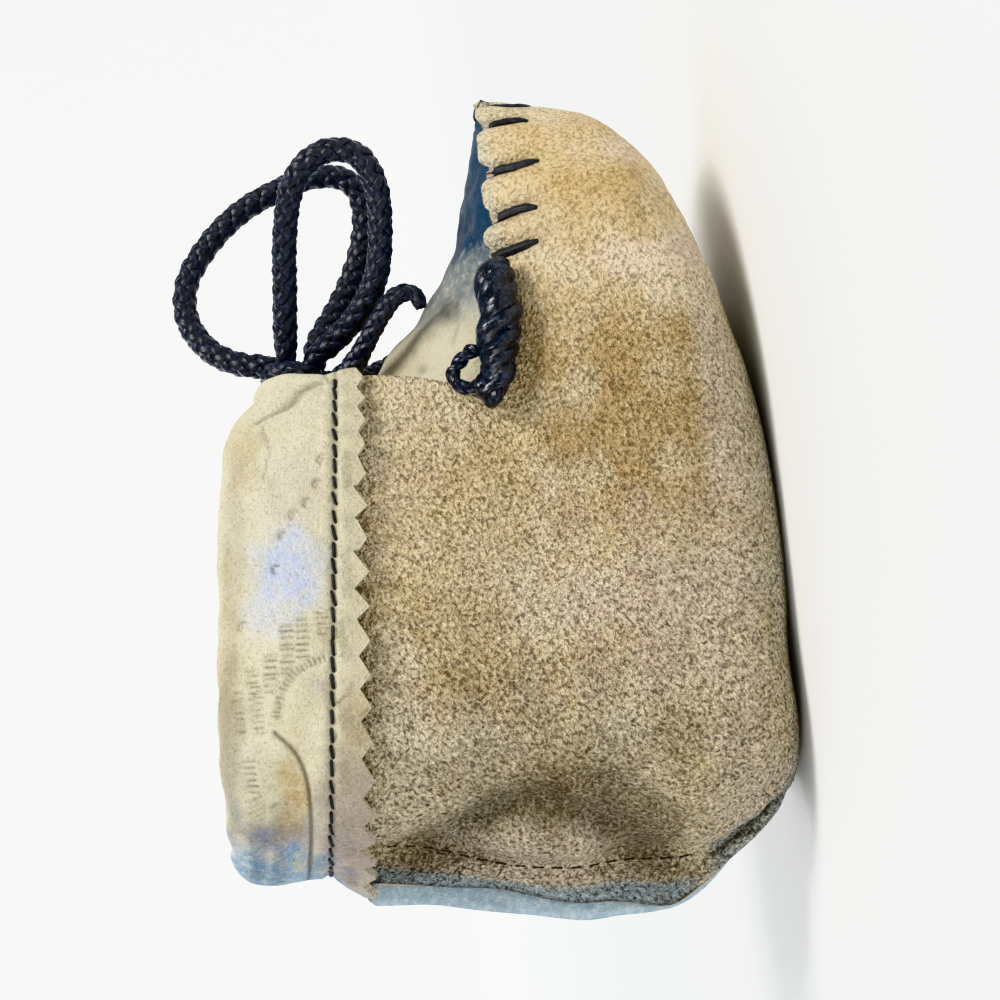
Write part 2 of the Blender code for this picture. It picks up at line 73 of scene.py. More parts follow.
def makeCamera():
    turn = math.radians(view["azimuth"])
    lift = math.radians(view["elevation"])
    back = Vector((math.sin(turn) * math.cos(lift), -math.cos(turn) * math.cos(lift), math.sin(lift)))
    lean = math.radians(view["tilt"])
    up = Vector((math.cos(lean), 0.0, -math.sin(lean)))
    up = (up - up.dot(back) * back).normalized()
    right = up.cross(back)
    data = bpy.data.cameras.new("camera")
    data.lens = view["lens"]
    data.sensor_width = 36.0
    data.clip_start = 0.01
    data.clip_end = 20.0
    camera = bpy.data.objects.new("camera", data)
    bpy.context.scene.collection.objects.link(camera)
    turned = Matrix((right, up, back)).transposed().to_4x4()
    turned.translation = Vector(view["aim"]) + back * view["distance"]
    camera.matrix_world = turned
    bpy.context.scene.camera = camera


makeCamera()
stageLine("camera")


# shared making of meshes

def link(thing):
    bpy.context.scene.collection.objects.link(thing)
    return thing


# arrays in millimetres to points in metres; along is measured from the back of the heel seam
def place(along, across, height):
    along, across, height = np.broadcast_arrays(along, across, height)
    return np.stack([along - shoeLength / 2, across, height], axis=-1) * mm


def meshFrom(name, points, faces):
    mesh = bpy.data.meshes.new(name)
    points = np.asarray(points, dtype=np.float32).reshape(-1, 3)
    faces = np.asarray(faces, dtype=np.int32)
    corners = faces.shape[1]
    mesh.vertices.add(len(points))
    mesh.vertices.foreach_set("co", points.ravel())
    mesh.loops.add(faces.size)
    mesh.loops.foreach_set("vertex_index", faces.ravel())
    mesh.polygons.add(len(faces))
    mesh.polygons.foreach_set("loop_start", np.arange(0, faces.size, corners, dtype=np.int32))
    mesh.polygons.foreach_set("loop_total", np.full(len(faces), corners, dtype=np.int32))
    mesh.update(calc_edges=True)
    mesh.validate()
    mesh.polygons.foreach_set("use_smooth", np.ones(len(mesh.polygons), dtype=bool))
    return mesh


# a float for each vertex, read by the finishes
def addPoints(mesh, name, values):
    made = mesh.attributes.new(name, "FLOAT", "POINT")
    made.data.foreach_set("value", np.asarray(values, dtype=np.float32).ravel())


def gridFaces(rows, columns, wrapColumns=False, keep=None):
    i, j = np.meshgrid(np.arange(rows - 1), np.arange(columns if wrapColumns else columns - 1), indexing="ij")
    if keep is not None:
        chosen = keep(i, j)
        i, j = i[chosen], j[chosen]
    i, j = i.ravel(), j.ravel()
    k = (j + 1) % columns
    return np.stack([i * columns + j, i * columns + k, (i + 1) * columns + k, (i + 1) * columns + j], axis=1)


# unit normals of a grid of points, turned as its faces are
def gridNormals(points):
    down = np.gradient(points, axis=0)
    over = np.gradient(points, axis=1)
    normal = np.cross(over, down)
    return normal / np.maximum(np.linalg.norm(normal, axis=-1, keepdims=True), 1e-12)


def smoothstep(t):
    t = np.clip(t, 0.0, 1.0)
    return t * t * (3 - 2 * t)


# a soft hump, 1 in the middle
def hump(x, at, wide):
    return np.exp(-((x - at) / wide) ** 2)


# how far out each place is from the middle of an oval, counted in its half sizes
def ovalFar(x, y, middleX, middleY, halfX, halfY):
    return np.sqrt(((x - middleX) / halfX) ** 2 + ((y - middleY) / halfY) ** 2)


# distance walked along a route to each of its points
def walkedTo(route):
    return np.concatenate([[0], np.cumsum(np.linalg.norm(np.diff(route, axis=0), axis=1))])


# distance of each point from a broken line, and how far along the line it is, 0 to 1
def nearLine(x, y, line):
    best = np.full(np.shape(x), 1e9)
    where = np.zeros(np.shape(x))
    line = np.asarray(line, dtype=float)
    lengths = np.hypot(*np.diff(line, axis=0).T)
    total = lengths.sum()
    walked = 0.0
    for (ax, ay), (bx, by), size in zip(line[:-1], line[1:], lengths):
        t = np.clip(((x - ax) * (bx - ax) + (y - ay) * (by - ay)) / max(size ** 2, 1e-9), 0, 1)
        far = np.hypot(x - ax - t * (bx - ax), y - ay - t * (by - ay))
        closer = far < best
        best = np.where(closer, far, best)
        where = np.where(closer, (walked + t * size) / total, where)
        walked += size
    return best, where


# points a fixed distance apart on a smooth curve through the route's own points
def smoothRoute(route, step):
    places = np.asarray(route, dtype=float)
    ends = np.vstack([2 * places[0] - places[1], places, 2 * places[-1] - places[-2]])
    t = np.linspace(0, 1, 24, endpoint=False)[:, None]
    fine = []
    for a, b, c, d in zip(ends[:-3], ends[1:-2], ends[2:-1], ends[3:]):
        fine.append(0.5 * (2 * b + (c - a) * t + (2 * a - 5 * b + 4 * c - d) * t ** 2
                           + (3 * b - a - 3 * c + d) * t ** 3))
    fine = np.vstack(fine + [places[-1:]])
    gone = walkedTo(fine[:, :3])
    wanted = np.linspace(0, gone[-1], max(3, int(round(gone[-1] / step)) + 1))
    return np.stack([np.interp(wanted, gone, fine[:, k]) for k in range(fine.shape[1])], axis=1)


def smoothLine(line, step):
    return smoothRoute(np.array([(*p, 0.0) for p in line]), step)[:, :2]


# two unit vectors across a route at each point, turned as little as possible from one to the next
def routeFrames(points):
    along = np.gradient(points, axis=0)
    along /= np.maximum(np.linalg.norm(along, axis=1, keepdims=True), 1e-12)
    first = np.cross(along[0], (0.0, 0.0, 1.0))
    if np.linalg.norm(first) < 0.2:
        first = np.cross(along[0], (0.0, 1.0, 0.0))
    sides = [first / np.linalg.norm(first)]
    for t in along[1:]:
        side = sides[-1] - np.dot(sides[-1], t) * t
        sides.append(side / np.linalg.norm(side))
    sides = np.array(sides)
    return sides, np.cross(along, sides), along


# points and quads of a tube; wide and thick are its half sizes, turn the angle of its cross-section
def tubeParts(points, wide, thick=None, sides=8, turn=None, ends=True):
    points = np.asarray(points, dtype=float)
    wide = np.broadcast_to(wide, len(points))
    thick = wide if thick is None else np.broadcast_to(thick, len(points))
    if ends:
        wide = np.concatenate([[wide[0] * 0.02, wide[0] * 0.75], wide, [wide[-1] * 0.75, wide[-1] * 0.02]])
        thick = np.concatenate([[thick[0] * 0.02, thick[0] * 0.75], thick,
                                [thick[-1] * 0.75, thick[-1] * 0.02]])
        head = points[0] - points[1]
        head /= np.linalg.norm(head)
        tail = points[-1] - points[-2]
        tail /= np.linalg.norm(tail)
        points = np.vstack([points[0] + head * wide[2] * 0.7, points[0] + head * wide[2] * 0.45, points,
                            points[-1] + tail * wide[-3] * 0.45, points[-1] + tail * wide[-3] * 0.7])
        if turn is not None:
            turn = np.concatenate([[turn[0]] * 2, turn, [turn[-1]] * 2])
    a, b, _ = routeFrames(points)
    if turn is not None:
        c, s = np.cos(turn)[:, None], np.sin(turn)[:, None]
        a, b = a * c + b * s, b * c - a * s
    angle = np.linspace(0, 2 * np.pi, sides, endpoint=False)
    ring = (a[:, None] * (np.cos(angle) * wide[:, None])[..., None]
            + b[:, None] * (np.sin(angle) * thick[:, None])[..., None])
    made = points[:, None] + ring
    return made.reshape(-1, 3), gridFaces(len(points), sides, wrapColumns=True)[:, ::-1]


# several (points, faces) as one
def joinParts(parts):
    points, faces, base = [], [], 0
    for p, f in parts:
        points.append(p)
        faces.append(f + base)
        base += len(p)
    return np.vstack(points), np.vstack(faces)


# wall of a piece, grown inwards; lined pieces show their second finish inside and the third at the cut
def thicken(thing, thick, lined=True):
    wall = thing.modifiers.new("Thickness", "SOLIDIFY")
    wall.thickness = thick * mm
    wall.offset = -1.0
    if lined:
        wall.material_offset = 1
        wall.material_offset_rim = 2
    return wall


def addPiece(name, mesh, finishes, replaced=()):
    thing = link(bpy.data.objects.new(name, mesh))
    for finish in finishes:
        mesh.materials.append(finish)
    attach(thing, "root")
    if replaced:
        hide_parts(*replaced)
    return thing


# a piece of joined tubes; pattern is the fineness of its fibres, repeated over its points
def addTubes(name, parts, pattern, finish, replaced=()):
    p, f = joinParts(parts)
    mesh = meshFrom(name, p, f)
    addPoints(mesh, "fibre", np.resize(pattern, len(p)))
    addPiece(name, mesh, [finish], replaced)


# finishes

# short way of wiring a finish; every texture reads the shoe's own millimetres
class Nodes:
    def __init__(self, name):
        self.material = bpy.data.materials.new(name)
        self.material.use_nodes = True
        self.tree = self.material.node_tree
        self.shader = self.tree.nodes["Principled BSDF"]
        where = self.tree.nodes.new("ShaderNodeTexCoord")
        grow = self.tree.nodes.new("ShaderNodeVectorMath")
        grow.operation = "SCALE"
        grow.inputs["Scale"].default_value = 1000.0
        self.join(where.outputs["Object"], grow.inputs[0])
        self.where = grow.outputs[0]

    def join(self, source, target):
        if isinstance(source, (int, float)):
            target.default_value = source
        elif isinstance(source, tuple):
            target.default_value = (*source, 1.0) if len(source) < len(target.default_value) else source
        else:
            self.tree.links.new(source, target)

    def stretched(self, scale, turn=(0.0, 0.0, 0.0)):
        node = self.tree.nodes.new("ShaderNodeMapping")
        node.vector_type = "TEXTURE"
        node.inputs["Scale"].default_value = scale
        node.inputs["Rotation"].default_value = [math.radians(a) for a in turn]
        self.join(self.where, node.inputs["Vector"])
        return node.outputs[0]

    def noise(self, scale, detail=2.0, rough=0.5, where=None, bend=0.0):
        node = self.tree.nodes.new("ShaderNodeTexNoise")
        node.inputs["Scale"].default_value = scale
        node.inputs["Detail"].default_value = detail
        node.inputs["Roughness"].default_value = rough
        node.inputs["Distortion"].default_value = bend
        self.join(where or self.where, node.inputs["Vector"])
        return node.outputs["Fac"]

    def cracks(self, scale):
        node = self.tree.nodes.new("ShaderNodeTexVoronoi")
        node.feature = "DISTANCE_TO_EDGE"
        node.inputs["Scale"].default_value = scale
        self.join(self.where, node.inputs["Vector"])
        return node.outputs["Distance"]

    def attribute(self, name):
        node = self.tree.nodes.new("ShaderNodeAttribute")
        node.attribute_name = name
        return node.outputs["Fac"]

    def ramp(self, source, low, high, fromValue=0.0, toValue=1.0):
        node = self.tree.nodes.new("ShaderNodeMapRange")
        node.interpolation_type = "SMOOTHSTEP"
        self.join(source, node.inputs["Value"])
        for key, value in (("From Min", low), ("From Max", high), ("To Min", fromValue), ("To Max", toValue)):
            self.join(value, node.inputs[key])
        return node.outputs[0]

    def math(self, kind, a, b=0.0):
        node = self.tree.nodes.new("ShaderNodeMath")
        node.operation = kind
        self.join(a, node.inputs[0])
        self.join(b, node.inputs[1])
        return node.outputs[0]

    def times(self, a, b):
        return self.math("MULTIPLY", a, b)

    def mix(self, share, a, b):
        node = self.tree.nodes.new("ShaderNodeMix")
        node.data_type = "RGBA"
        self.join(share, node.inputs[0])
        self.join(a, node.inputs[6])     # colour sockets A and B come after the plain and vector ones
        self.join(b, node.inputs[7])
        return node.outputs[2]

    def bump(self, height, distance, strength=1.0, under=None):
        node = self.tree.nodes.new("ShaderNodeBump")
        node.inputs["Distance"].default_value = distance * mm
        self.join(strength, node.inputs["Strength"])
        self.join(height, node.inputs["Height"])
        if under is not None:
            self.join(under, node.inputs["Normal"])
        return node.outputs[0]

    def finish(self, color, roughness, normal=None, **constants):
        self.join(color, self.shader.inputs["Base Color"])
        self.join(roughness, self.shader.inputs["Roughness"])
        if normal is not None:
            self.join(normal, self.shader.inputs["Normal"])
        for key, value in constants.items():
            self.shader.inputs[key.replace("_", " ")].default_value = value
        return self.material


# a colour named by its everyday 0-255 values
def tone(*values):
    return tuple(v / 255 / 12.92 if v <= 10 else ((v / 255 + 0.055) / 1.055) ** 2.4 for v in values)


# grain is in noise cells for each millimetre, depths in millimetres
suedeLook = dict(
    tan=tone(228, 204, 154), sand=tone(234, 217, 183), brown=tone(190, 156, 98), deep=tone(64, 49, 28),
    light=tone(252, 240, 208), pink=tone(234, 212, 188), grey=tone(188, 189, 176), rim=tone(176, 196, 204),
    nap=2.1, fineNap=4.6, fineShare=0.2, napDepth=3.4, clump=0.55, clumpDepth=0.35,
    cloud=0.05, blotch=0.13, blotchShare=0.30, lightShare=0.80, stainedLight=0.42,
    rimShare=0.8, soilAndShadeShare=0.8, pitFrom=0.54, pitTo=0.31, pitsInSoilAndShade=0.16,
    roughness=0.95, sheen=0.12, sheenTint=(1.0, 0.93, 0.82, 1.0))


def suedeFinish(name, look):
    n = Nodes(name)
    brushed = n.stretched((1.0, 1.0, 1.25), (0, 50, 0))
    nap = n.noise(look["nap"], 1.0, 0.5, brushed, 0.5)
    fine = n.noise(look["fineNap"], 1.0, 0.5, brushed, 0.3)
    rough = n.math("SUBTRACT", 1.0, n.attribute("smooth"))
    grain = n.math("ADD", n.times(nap, 1 - look["fineShare"]), n.times(fine, look["fineShare"]))
    # tan ground with clouds, blotches and the wrap's own patches, some pale ones a painted highlight
    cloud = n.noise(look["cloud"], 3.0, 0.55, None, 0.4)
    color = n.mix(n.ramp(cloud, 0.35, 0.65), look["tan"], look["sand"])
    blotch = n.ramp(n.noise(look["blotch"], 3.0, 0.6), 0.48, 0.72)
    color = n.mix(n.times(blotch, look["blotchShare"]), color, look["brown"])
    for key, shade in (("stain", "brown"), ("pale", "pink"), ("grey", "grey")):
        color = n.mix(n.attribute(key), color, look[shade])
    # light tips of the nap, fewer where it is stained
    lit = n.times(n.ramp(grain, 0.48, 0.72, 0.0, look["lightShare"]),
                  n.ramp(n.attribute("stain"), 0.0, 1.0, 1.0, look["stainedLight"]))
    color = n.mix(n.times(lit, rough), color, look["light"])
    # bluish painted shade along the edges of the heel leaves
    color = n.mix(n.times(n.attribute("rim"), look["rimShare"]), color, look["rim"])
    # dark pits between the fibres, deeper and closer where painted shade and soil lie
    soilAndShade = n.attribute("soilAndShade")
    clump = n.times(n.ramp(n.noise(look["clump"], 3.0, 0.6), 0.36, 0.64, 0.78, 0.58), rough)
    pitFrom = n.math("ADD", look["pitFrom"], n.times(soilAndShade, look["pitsInSoilAndShade"]))
    color = n.mix(n.times(n.ramp(grain, pitFrom, look["pitTo"]), clump), color, look["deep"])
    # painted shade, with some soil, darkens the troughs, creases and gaps
    color = n.mix(n.times(soilAndShade, look["soilAndShadeShare"]), color, look["deep"])
    low = n.bump(n.noise(0.6, 3.0, 0.55, brushed, 0.5), look["clumpDepth"], 0.6)
    normal = n.bump(grain, look["napDepth"], n.ramp(rough, 0.3, 1.14, 0.25, 1.0), low)
    made = n.finish(color, look["roughness"], normal, Specular_IOR_Level=0.12, Sheen_Weight=look["sheen"],
                    Sheen_Roughness=0.6)
    n.shader.inputs["Sheen Tint"].default_value = look["sheenTint"]
    return made


insideLook = dict(
    cream=tone(170, 166, 152), pale=tone(204, 197, 180), blueDeep=tone(150, 174, 188),
    bluePale=tone(186, 200, 208), soilAndShade=tone(34, 44, 52), grain=1.6, roughness=0.66)


# smooth grain side of the hide, which faces inwards
def insideFinish(name, look):
    n = Nodes(name)
    cloud = n.ramp(n.noise(0.22, 4.0, 0.65, None, 0.5), 0.35, 0.65)
    color = n.mix(cloud, look["cream"], look["pale"])
    # blotchy blue painted shade where the inside of the far leaf shows
    blotchy = n.ramp(n.noise(0.8, 4.0, 0.7, None, 0.8), 0.38, 0.66)
    mottled = n.mix(blotchy, look["blueDeep"], look["bluePale"])
    color = n.mix(n.times(n.attribute("blueShade"), 0.92), color, mottled)
    # painted shade, with some soil, where the crack and gaps behind the heel show
    color = n.mix(n.attribute("soilAndShade"), color, look["soilAndShade"])
    normal = n.bump(n.ramp(n.cracks(look["grain"]), 0.0, 0.16), 0.08, 0.6)
    normal = n.bump(n.noise(0.6, 4.0, 0.6), 0.6, 0.6, normal)
    return n.finish(color, look["roughness"], normal, Specular_IOR_Level=0.3)


edgeLook = dict(deep=tone(132, 122, 104), pale=tone(206, 194, 170), fibre=3.2, roughness=0.95)


# cut edge of the hide, pale and fibrous
def edgeFinish(name, look):
    n = Nodes(name)
    fibre = n.noise(look["fibre"], 3.0, 0.65, None, 0.6)
    color = n.mix(n.ramp(fibre, 0.35, 0.62), look["deep"], look["pale"])
    normal = n.bump(fibre, 0.35, 0.8)
    return n.finish(color, look["roughness"], normal, Specular_IOR_Level=0.15, Sheen_Weight=0.3)


leatherLook = dict(
    cream=tone(204, 196, 164), pale=tone(216, 209, 184), gold=tone(172, 144, 88), taupe=tone(84, 72, 52),
    paintedLightAndShade=tone(192, 202, 224), blueShade=tone(112, 148, 178), pink=tone(186, 170, 166), khaki=tone(176, 164, 132),
    cloud=0.10, smudge=0.24, smudgeShare=0.34, speck=2.4, darkSpecks=0.36, paleSpecks=0.30, pores=2.2)


def leatherFinish(name, look, specks=1.0):
    n = Nodes(name)
    cloud = n.noise(look["cloud"], 4.0, 0.6, None, 0.6)
    color = n.mix(n.ramp(cloud, 0.3, 0.68), look["cream"], look["pale"])
    color = n.mix(n.attribute("khaki"), color, look["khaki"])
    smudge = n.ramp(n.noise(look["smudge"], 4.0, 0.68, None, 0.9), 0.54, 0.76)
    color = n.mix(n.times(smudge, look["smudgeShare"]), color, look["gold"])
    # tones laid on, thinner in places: gold, pink, a lilac that is a painted highlight on the cuff and
    # painted grey shade on the apron, and blue, which is painted shade
    mottled = n.ramp(n.noise(0.7, 4.0, 0.65), 0.25, 0.6, 0.35, 1.0)
    for key in ("gold", "pink", "paintedLightAndShade", "blueShade"):
        color = n.mix(n.times(n.attribute(key), mottled), color, look[key])
    speck = n.noise(look["speck"], 3.0, 0.66)
    color = n.mix(n.ramp(speck, 0.48, 0.72, 0.0, look["darkSpecks"] * specks), color, look["taupe"])
    color = n.mix(n.ramp(speck, 0.50, 0.30, 0.0, look["paleSpecks"] * specks), color, look["pale"])
    # taupe in tool marks and along the stitches, and painted shade in folds, creases and the shade ovals
    color = n.mix(n.attribute("pressAndShade"), color, look["taupe"])
    normal = n.bump(n.ramp(n.cracks(look["pores"]), 0.0, 0.22), 0.10, 0.7)
    normal = n.bump(n.noise(0.7, 4.0, 0.6), 0.55, 0.5, normal)
    rough = n.ramp(n.noise(0.4, 2.0), 0.3, 0.7, 0.52, 0.68)
    return n.finish(color, rough, normal, Specular_IOR_Level=0.38)


# black cord or thong; "fibre" is the fineness laid on each strand
def threadFinish(name, dark, light, rough, scale=2.2):
    n = Nodes(name)
    specks = n.noise(scale, 3.0, 0.65, None, 0.4)
    color = n.mix(n.ramp(specks, 0.48, 0.74), dark, light)
    height = n.math("ADD", n.times(n.attribute("fibre"), 0.6), n.times(specks, 0.5))
    normal = n.bump(height, 0.14, 0.9)
    made = n.finish(color, n.ramp(specks, 0.3, 0.7, rough, rough + 0.18), normal, Specular_IOR_Level=0.55,
                    Sheen_Weight=0.25, Sheen_Roughness=0.35)
    n.shader.inputs["Sheen Tint"].default_value = (0.45, 0.6, 1.0, 1.0)
    return made


suede = suedeFinish("suede", suedeLook)
suedeInside = insideFinish("suede_inside", insideLook)
suedeEdge = edgeFinish("suede_edge", edgeLook)
leather = leatherFinish("tooled_leather", leatherLook)
leatherEdge = edgeFinish("leather_edge", edgeLook)
braid = threadFinish("black_braid", tone(12, 14, 22), tone(44, 54, 82), 0.34)
# the black thong's pale bluish specks are a painted highlight
thongBlack = threadFinish("black_thong", tone(7, 10, 18), tone(52, 64, 84), 0.17, 1.6)
waxedBlack = threadFinish("waxed_thong", tone(17, 18, 21), tone(58, 60, 64), 0.5, 3.0)
stitchBrown = threadFinish("brown_thread", tone(58, 44, 30), tone(96, 78, 54), 0.7, 4.0)
stitchBlack = threadFinish("black_thread", tone(24, 23, 24), tone(60, 58, 58), 0.5, 4.0)
stageLine("finishes")


# the last: level sections of the shoe, in millimetres
# height, heel at, throat at, toe at, heel half, ball half, ball at, heel roundness
sections = [
    (0.0, 19.0, 48.0, 68.0, 13.5, 15.5, 50.0, 2.0),
    (1.0, 15.2, 53.0, 74.0, 16.8, 19.5, 55.0, 1.95),
    (3.0, 12.2, 60.0, 83.0, 18.8, 22.6, 61.0, 1.9),
    (6.0, 9.4, 66.0, 94.5, 20.2, 25.2, 66.0, 1.8),
    (10.0, 6.6, 69.5, 103.6, 21.0, 27.0, 69.0, 1.7),
    (15.0, 4.0, 71.0, 109.6, 21.4, 27.6, 70.0, 1.6),
    (20.0, 3.2, 71.5, 112.4, 21.4, 26.9, 70.0, 1.6),
    (27.0, 4.1, 71.7, 114.2, 21.1, 24.0, 70.0, 1.6),
    (33.0, 4.3, 71.7, 114.9, 20.7, 20.0, 70.0, 1.6),
    (40.0, 5.7, 73.4, 99.0, 20.1, 18.8, 63.0, 1.6),
    (46.0, 7.4, 75.6, 88.0, 19.6, 18.0, 59.0, 1.7),
    (52.0, 9.0, 77.0, 83.0, 19.1, 17.5, 56.0, 1.85),
    (57.0, 10.1, 77.6, 81.4, 18.7, 17.3, 55.0, 2.0),
    (66.0, 12.0, 77.8, 80.6, 18.1, 17.0, 53.0, 2.1),
    (80.0, 13.4, 77.8, 80.4, 17.6, 16.8, 52.0, 2.1)]
toeRoundness = 2.4
levelStep = 0.25
shareStep = 0.005


# smooth curve through a short table, level at its turning values
def hermite(xs, ys, x):
    xs, ys, x = np.asarray(xs, float), np.asarray(ys, float), np.clip(np.asarray(x, float), xs[0], xs[-1])
    slopes = np.zeros(len(xs))
    for k in range(len(xs)):
        low, high = max(k - 1, 0), min(k + 1, len(xs) - 1)
        if (ys[k] - ys[low]) * (ys[high] - ys[k]) >= 0:
            slopes[k] = (ys[high] - ys[low]) / (xs[high] - xs[low])
    i = np.clip(np.searchsorted(xs, x, side="right") - 1, 0, len(xs) - 2)
    span = xs[i + 1] - xs[i]
    t = (x - xs[i]) / span
    rise = ys[i + 1] - ys[i]
    a, b = slopes[i] * span, slopes[i + 1] * span
    return ys[i] + t * (a + t * ((3 * rise - 2 * a - b) + t * (a + b - 2 * rise)))


def sectionValues(height):
    rows = np.array(sections)
    return [float(hermite(rows[:, 0], rows[:, k], height)) for k in range(1, 8)]


# half of a level section from heel to toe, evenly divided before and after the throat
def makeOutline(height):
    heelAt, throatAt, toeAt, heelHalf, ballHalf, ballAt, heelRound = sectionValues(height)
    centre = heelAt + heelHalf
    turn = np.linspace(0, np.pi / 2, 90, endpoint=False)
    alongs = [centre - heelHalf * np.cos(turn) ** (2 / heelRound)]
    halves = [heelHalf * np.sin(turn) ** (2 / heelRound)]
    t = np.linspace(0, 1, 60, endpoint=False)
    alongs.append(centre + (ballAt - centre) * t)
    halves.append(heelHalf + (ballHalf - heelHalf) * smoothstep(t))
    turn = np.linspace(0, np.pi / 2, 120)
    alongs.append(ballAt + (toeAt - ballAt) * np.sin(turn) ** (2 / toeRoundness))
    halves.append(ballHalf * np.maximum(np.cos(turn), 0) ** (2 / toeRoundness))
    along, half = np.concatenate(alongs), np.concatenate(halves)
    gone = np.concatenate([[0], np.cumsum(np.hypot(np.diff(along), np.diff(half)))])
    throat = np.interp(throatAt, along, gone)
    shares = np.arange(0, 2 + shareStep / 2, shareStep)
    wanted = np.where(shares <= 1, shares * throat, throat + (shares - 1) * (gone[-1] - throat))
    return np.interp(wanted, gone, along), np.interp(wanted, gone, half)


levels = np.arange(0, 82 + levelStep / 2, levelStep)
lastTable = np.array([makeOutline(height) for height in levels])     # level, along or half, share


# (along, half) on a level section: share 0 is the heel seam, 1 the throat, 2 the tip of the toe
def station(height, share):
    height, share = np.broadcast_arrays(np.asarray(height, float), np.asarray(share, float))
    i = np.clip(height / levelStep, 0, len(levels) - 1.001)
    j = np.clip(share / shareStep, 0, lastTable.shape[2] - 1.001)
    i0, j0 = i.astype(int), j.astype(int)
    u, v = i - i0, j - j0
    out = []
    for k in (0, 1):
        t = lastTable[:, k]
        out.append((t[i0, j0] * (1 - v) + t[i0, j0 + 1] * v) * (1 - u)
                   + (t[i0 + 1, j0] * (1 - v) + t[i0 + 1, j0 + 1] * v) * u)
    return out[0], out[1]


def outward(height, share):
    share = np.asarray(share, float)
    back, ahead = station(height, np.maximum(share - 0.01, 0)), station(height, np.minimum(share + 0.01, 2))
    along, half = ahead[0] - back[0], ahead[1] - back[1]
    size = np.maximum(np.hypot(along, half), 1e-9)
    nx, ny = -half / size, along / size
    nx, ny = np.where(share < 0.01, -1.0, nx), np.where(share < 0.01, 0.0, ny)
    return np.where(share > 1.99, 1.0, nx), np.where(share > 1.99, 0.0, ny)


# point on the wrap's face, standing out from it; side is -1 for the wearer's right, +1 for the left
def skin(height, share, out=0.0, side=-1):
    along, half = station(height, share)
    nx, ny = outward(height, share)
    return place(along + nx * out, side * np.maximum(half + ny * out, 0.0), height)


def halfWidth(height, along):
    heelAt, _, toeAt, heelHalf, ballHalf, ballAt, heelRound = sectionValues(height)
    centre = heelAt + heelHalf
    if along <= heelAt or along >= toeAt:
        return 0.0
    if along < centre:
        return heelHalf * (1 - ((centre - along) / heelHalf) ** heelRound) ** (1 / heelRound)
    if along > ballAt:
        return ballHalf * (1 - ((along - ballAt) / (toeAt - ballAt)) ** toeRoundness) ** (1 / toeRoundness)
    return heelHalf + (ballHalf - heelHalf) * float(smoothstep((along - centre) / (ballAt - centre)))


# heights of the apron seam, and the line of the cuff's stitches: where it starts and how it falls
seamLine = dict(atThroat=36.5, atToe=31.7, fall=1.5)
stitchLine = dict(backAlong=9.2, backHeight=66.8, fall=0.144, collarLevel=61.8)
# top of the cuff: along, height
cuffTops = [(12.0, 79.4), (23.6, 79.2), (46.2, 76.9), (64.1, 74.0), (71.5, 71.9), (77.8, 66.8)]


def seamHeight(share):
    share = np.asarray(share, float)
    rise = (seamLine["atThroat"] - seamLine["atToe"]) * np.maximum(2 - share, 0) ** seamLine["fall"]
    return np.where(share <= 1, seamLine["atThroat"], seamLine["atToe"] + rise)


def collarAlong(share):
    return station(stitchLine["collarLevel"], share)[0]


def stitchHeight(share):
    return stitchLine["backHeight"] - (collarAlong(share) - stitchLine["backAlong"]) * stitchLine["fall"]


# whip stitches round the toe, as shares of the last from the throat; both sides and one at the tip
def seamShareAt(along):
    shares = np.linspace(1, 2, 400)
    return float(np.interp(along, station(seamHeight(shares), shares)[0], shares))


whipShares = [seamShareAt(a) for a in (90.5, 95.7, 102.4, 109.8, 113.9)] + [2.0]
stageLine("last")


# braided cord of the tie

tieCord = dict(
    radius=1.72, middle=1.16, weave=0.27, lay=10.6, strandWide=0.80, strandThick=0.44, step=0.42,
    throughKnot=0.82, inCasing=0.9, hiddenStep=0.9, knotAt=(79.8, 0.0, 62.0))

# routes of the bow: along, across (+ is the wearer's left) and height
mouthShares = [0.86, 0.91, 0.955, 0.99]
runOut, runBelowTop = -0.95, 5.0
loopRight = [
    (82.6, -2.1, 63.0), (86.6, -3.7, 62.6), (92.0, -5.6, 61.9), (97.6, -7.4, 61.2),
    (103.4, -9.2, 59.8), (107.4, -10.2, 57.4), (109.2, -10.6, 53.6), (108.0, -10.4, 49.6),
    (103.6, -9.6, 47.7), (97.4, -8.2, 47.9), (91.4, -6.8, 49.3), (86.9, -5.2, 52.4),
    (84.0, -3.4, 56.0), (82.4, -2.4, 58.6)]
loopLeft = [
    (82.2, 2.6, 65.0), (83.4, 4.4, 69.2), (86.2, 6.4, 73.4), (91.2, 8.4, 76.0),
    (97.0, 10.2, 75.4), (102.6, 11.6, 71.4), (106.8, 12.4, 66.2), (109.2, 12.6, 60.6),
    (110.4, 12.6, 56.0), (109.9, 12.6, 51.6), (107.4, 12.5, 49.2), (103.0, 12.3, 49.0),
    (98.6, 11.8, 50.2), (94.2, 10.4, 52.2), (90.0, 8.2, 54.8), (86.4, 5.8, 57.4),
    (84.2, 4.0, 58.6), (82.4, 2.5, 58.7)]
endRight = [
    (78.4, -2.2, 57.5), (78.8, -4.7, 55.2), (80.6, -6.8, 53.3), (83.2, -8.4, 51.3),
    (85.9, -9.8, 49.2), (88.0, -10.8, 46.9), (87.8, -11.5, 44.6), (86.0, -12.0, 44.0)]
endLeft = [
    (78.5, 2.2, 57.5), (78.9, 5.0, 54.8), (80.2, 9.2, 50.4), (82.8, 13.2, 45.2),
    (86.6, 17.0, 40.2), (90.8, 20.4, 35.2), (93.8, 23.0, 29.4), (95.4, 24.8, 23.6)]


# place of the tie inside the casing, in shoe millimetres
def runPoint(share, side):
    top = hermite(*np.array(cuffTops).T, collarAlong(share))
    p = skin(top - runBelowTop, share, runOut, side) / mm
    return (float(p[0]) + shoeLength / 2, float(p[1]), float(p[2]))


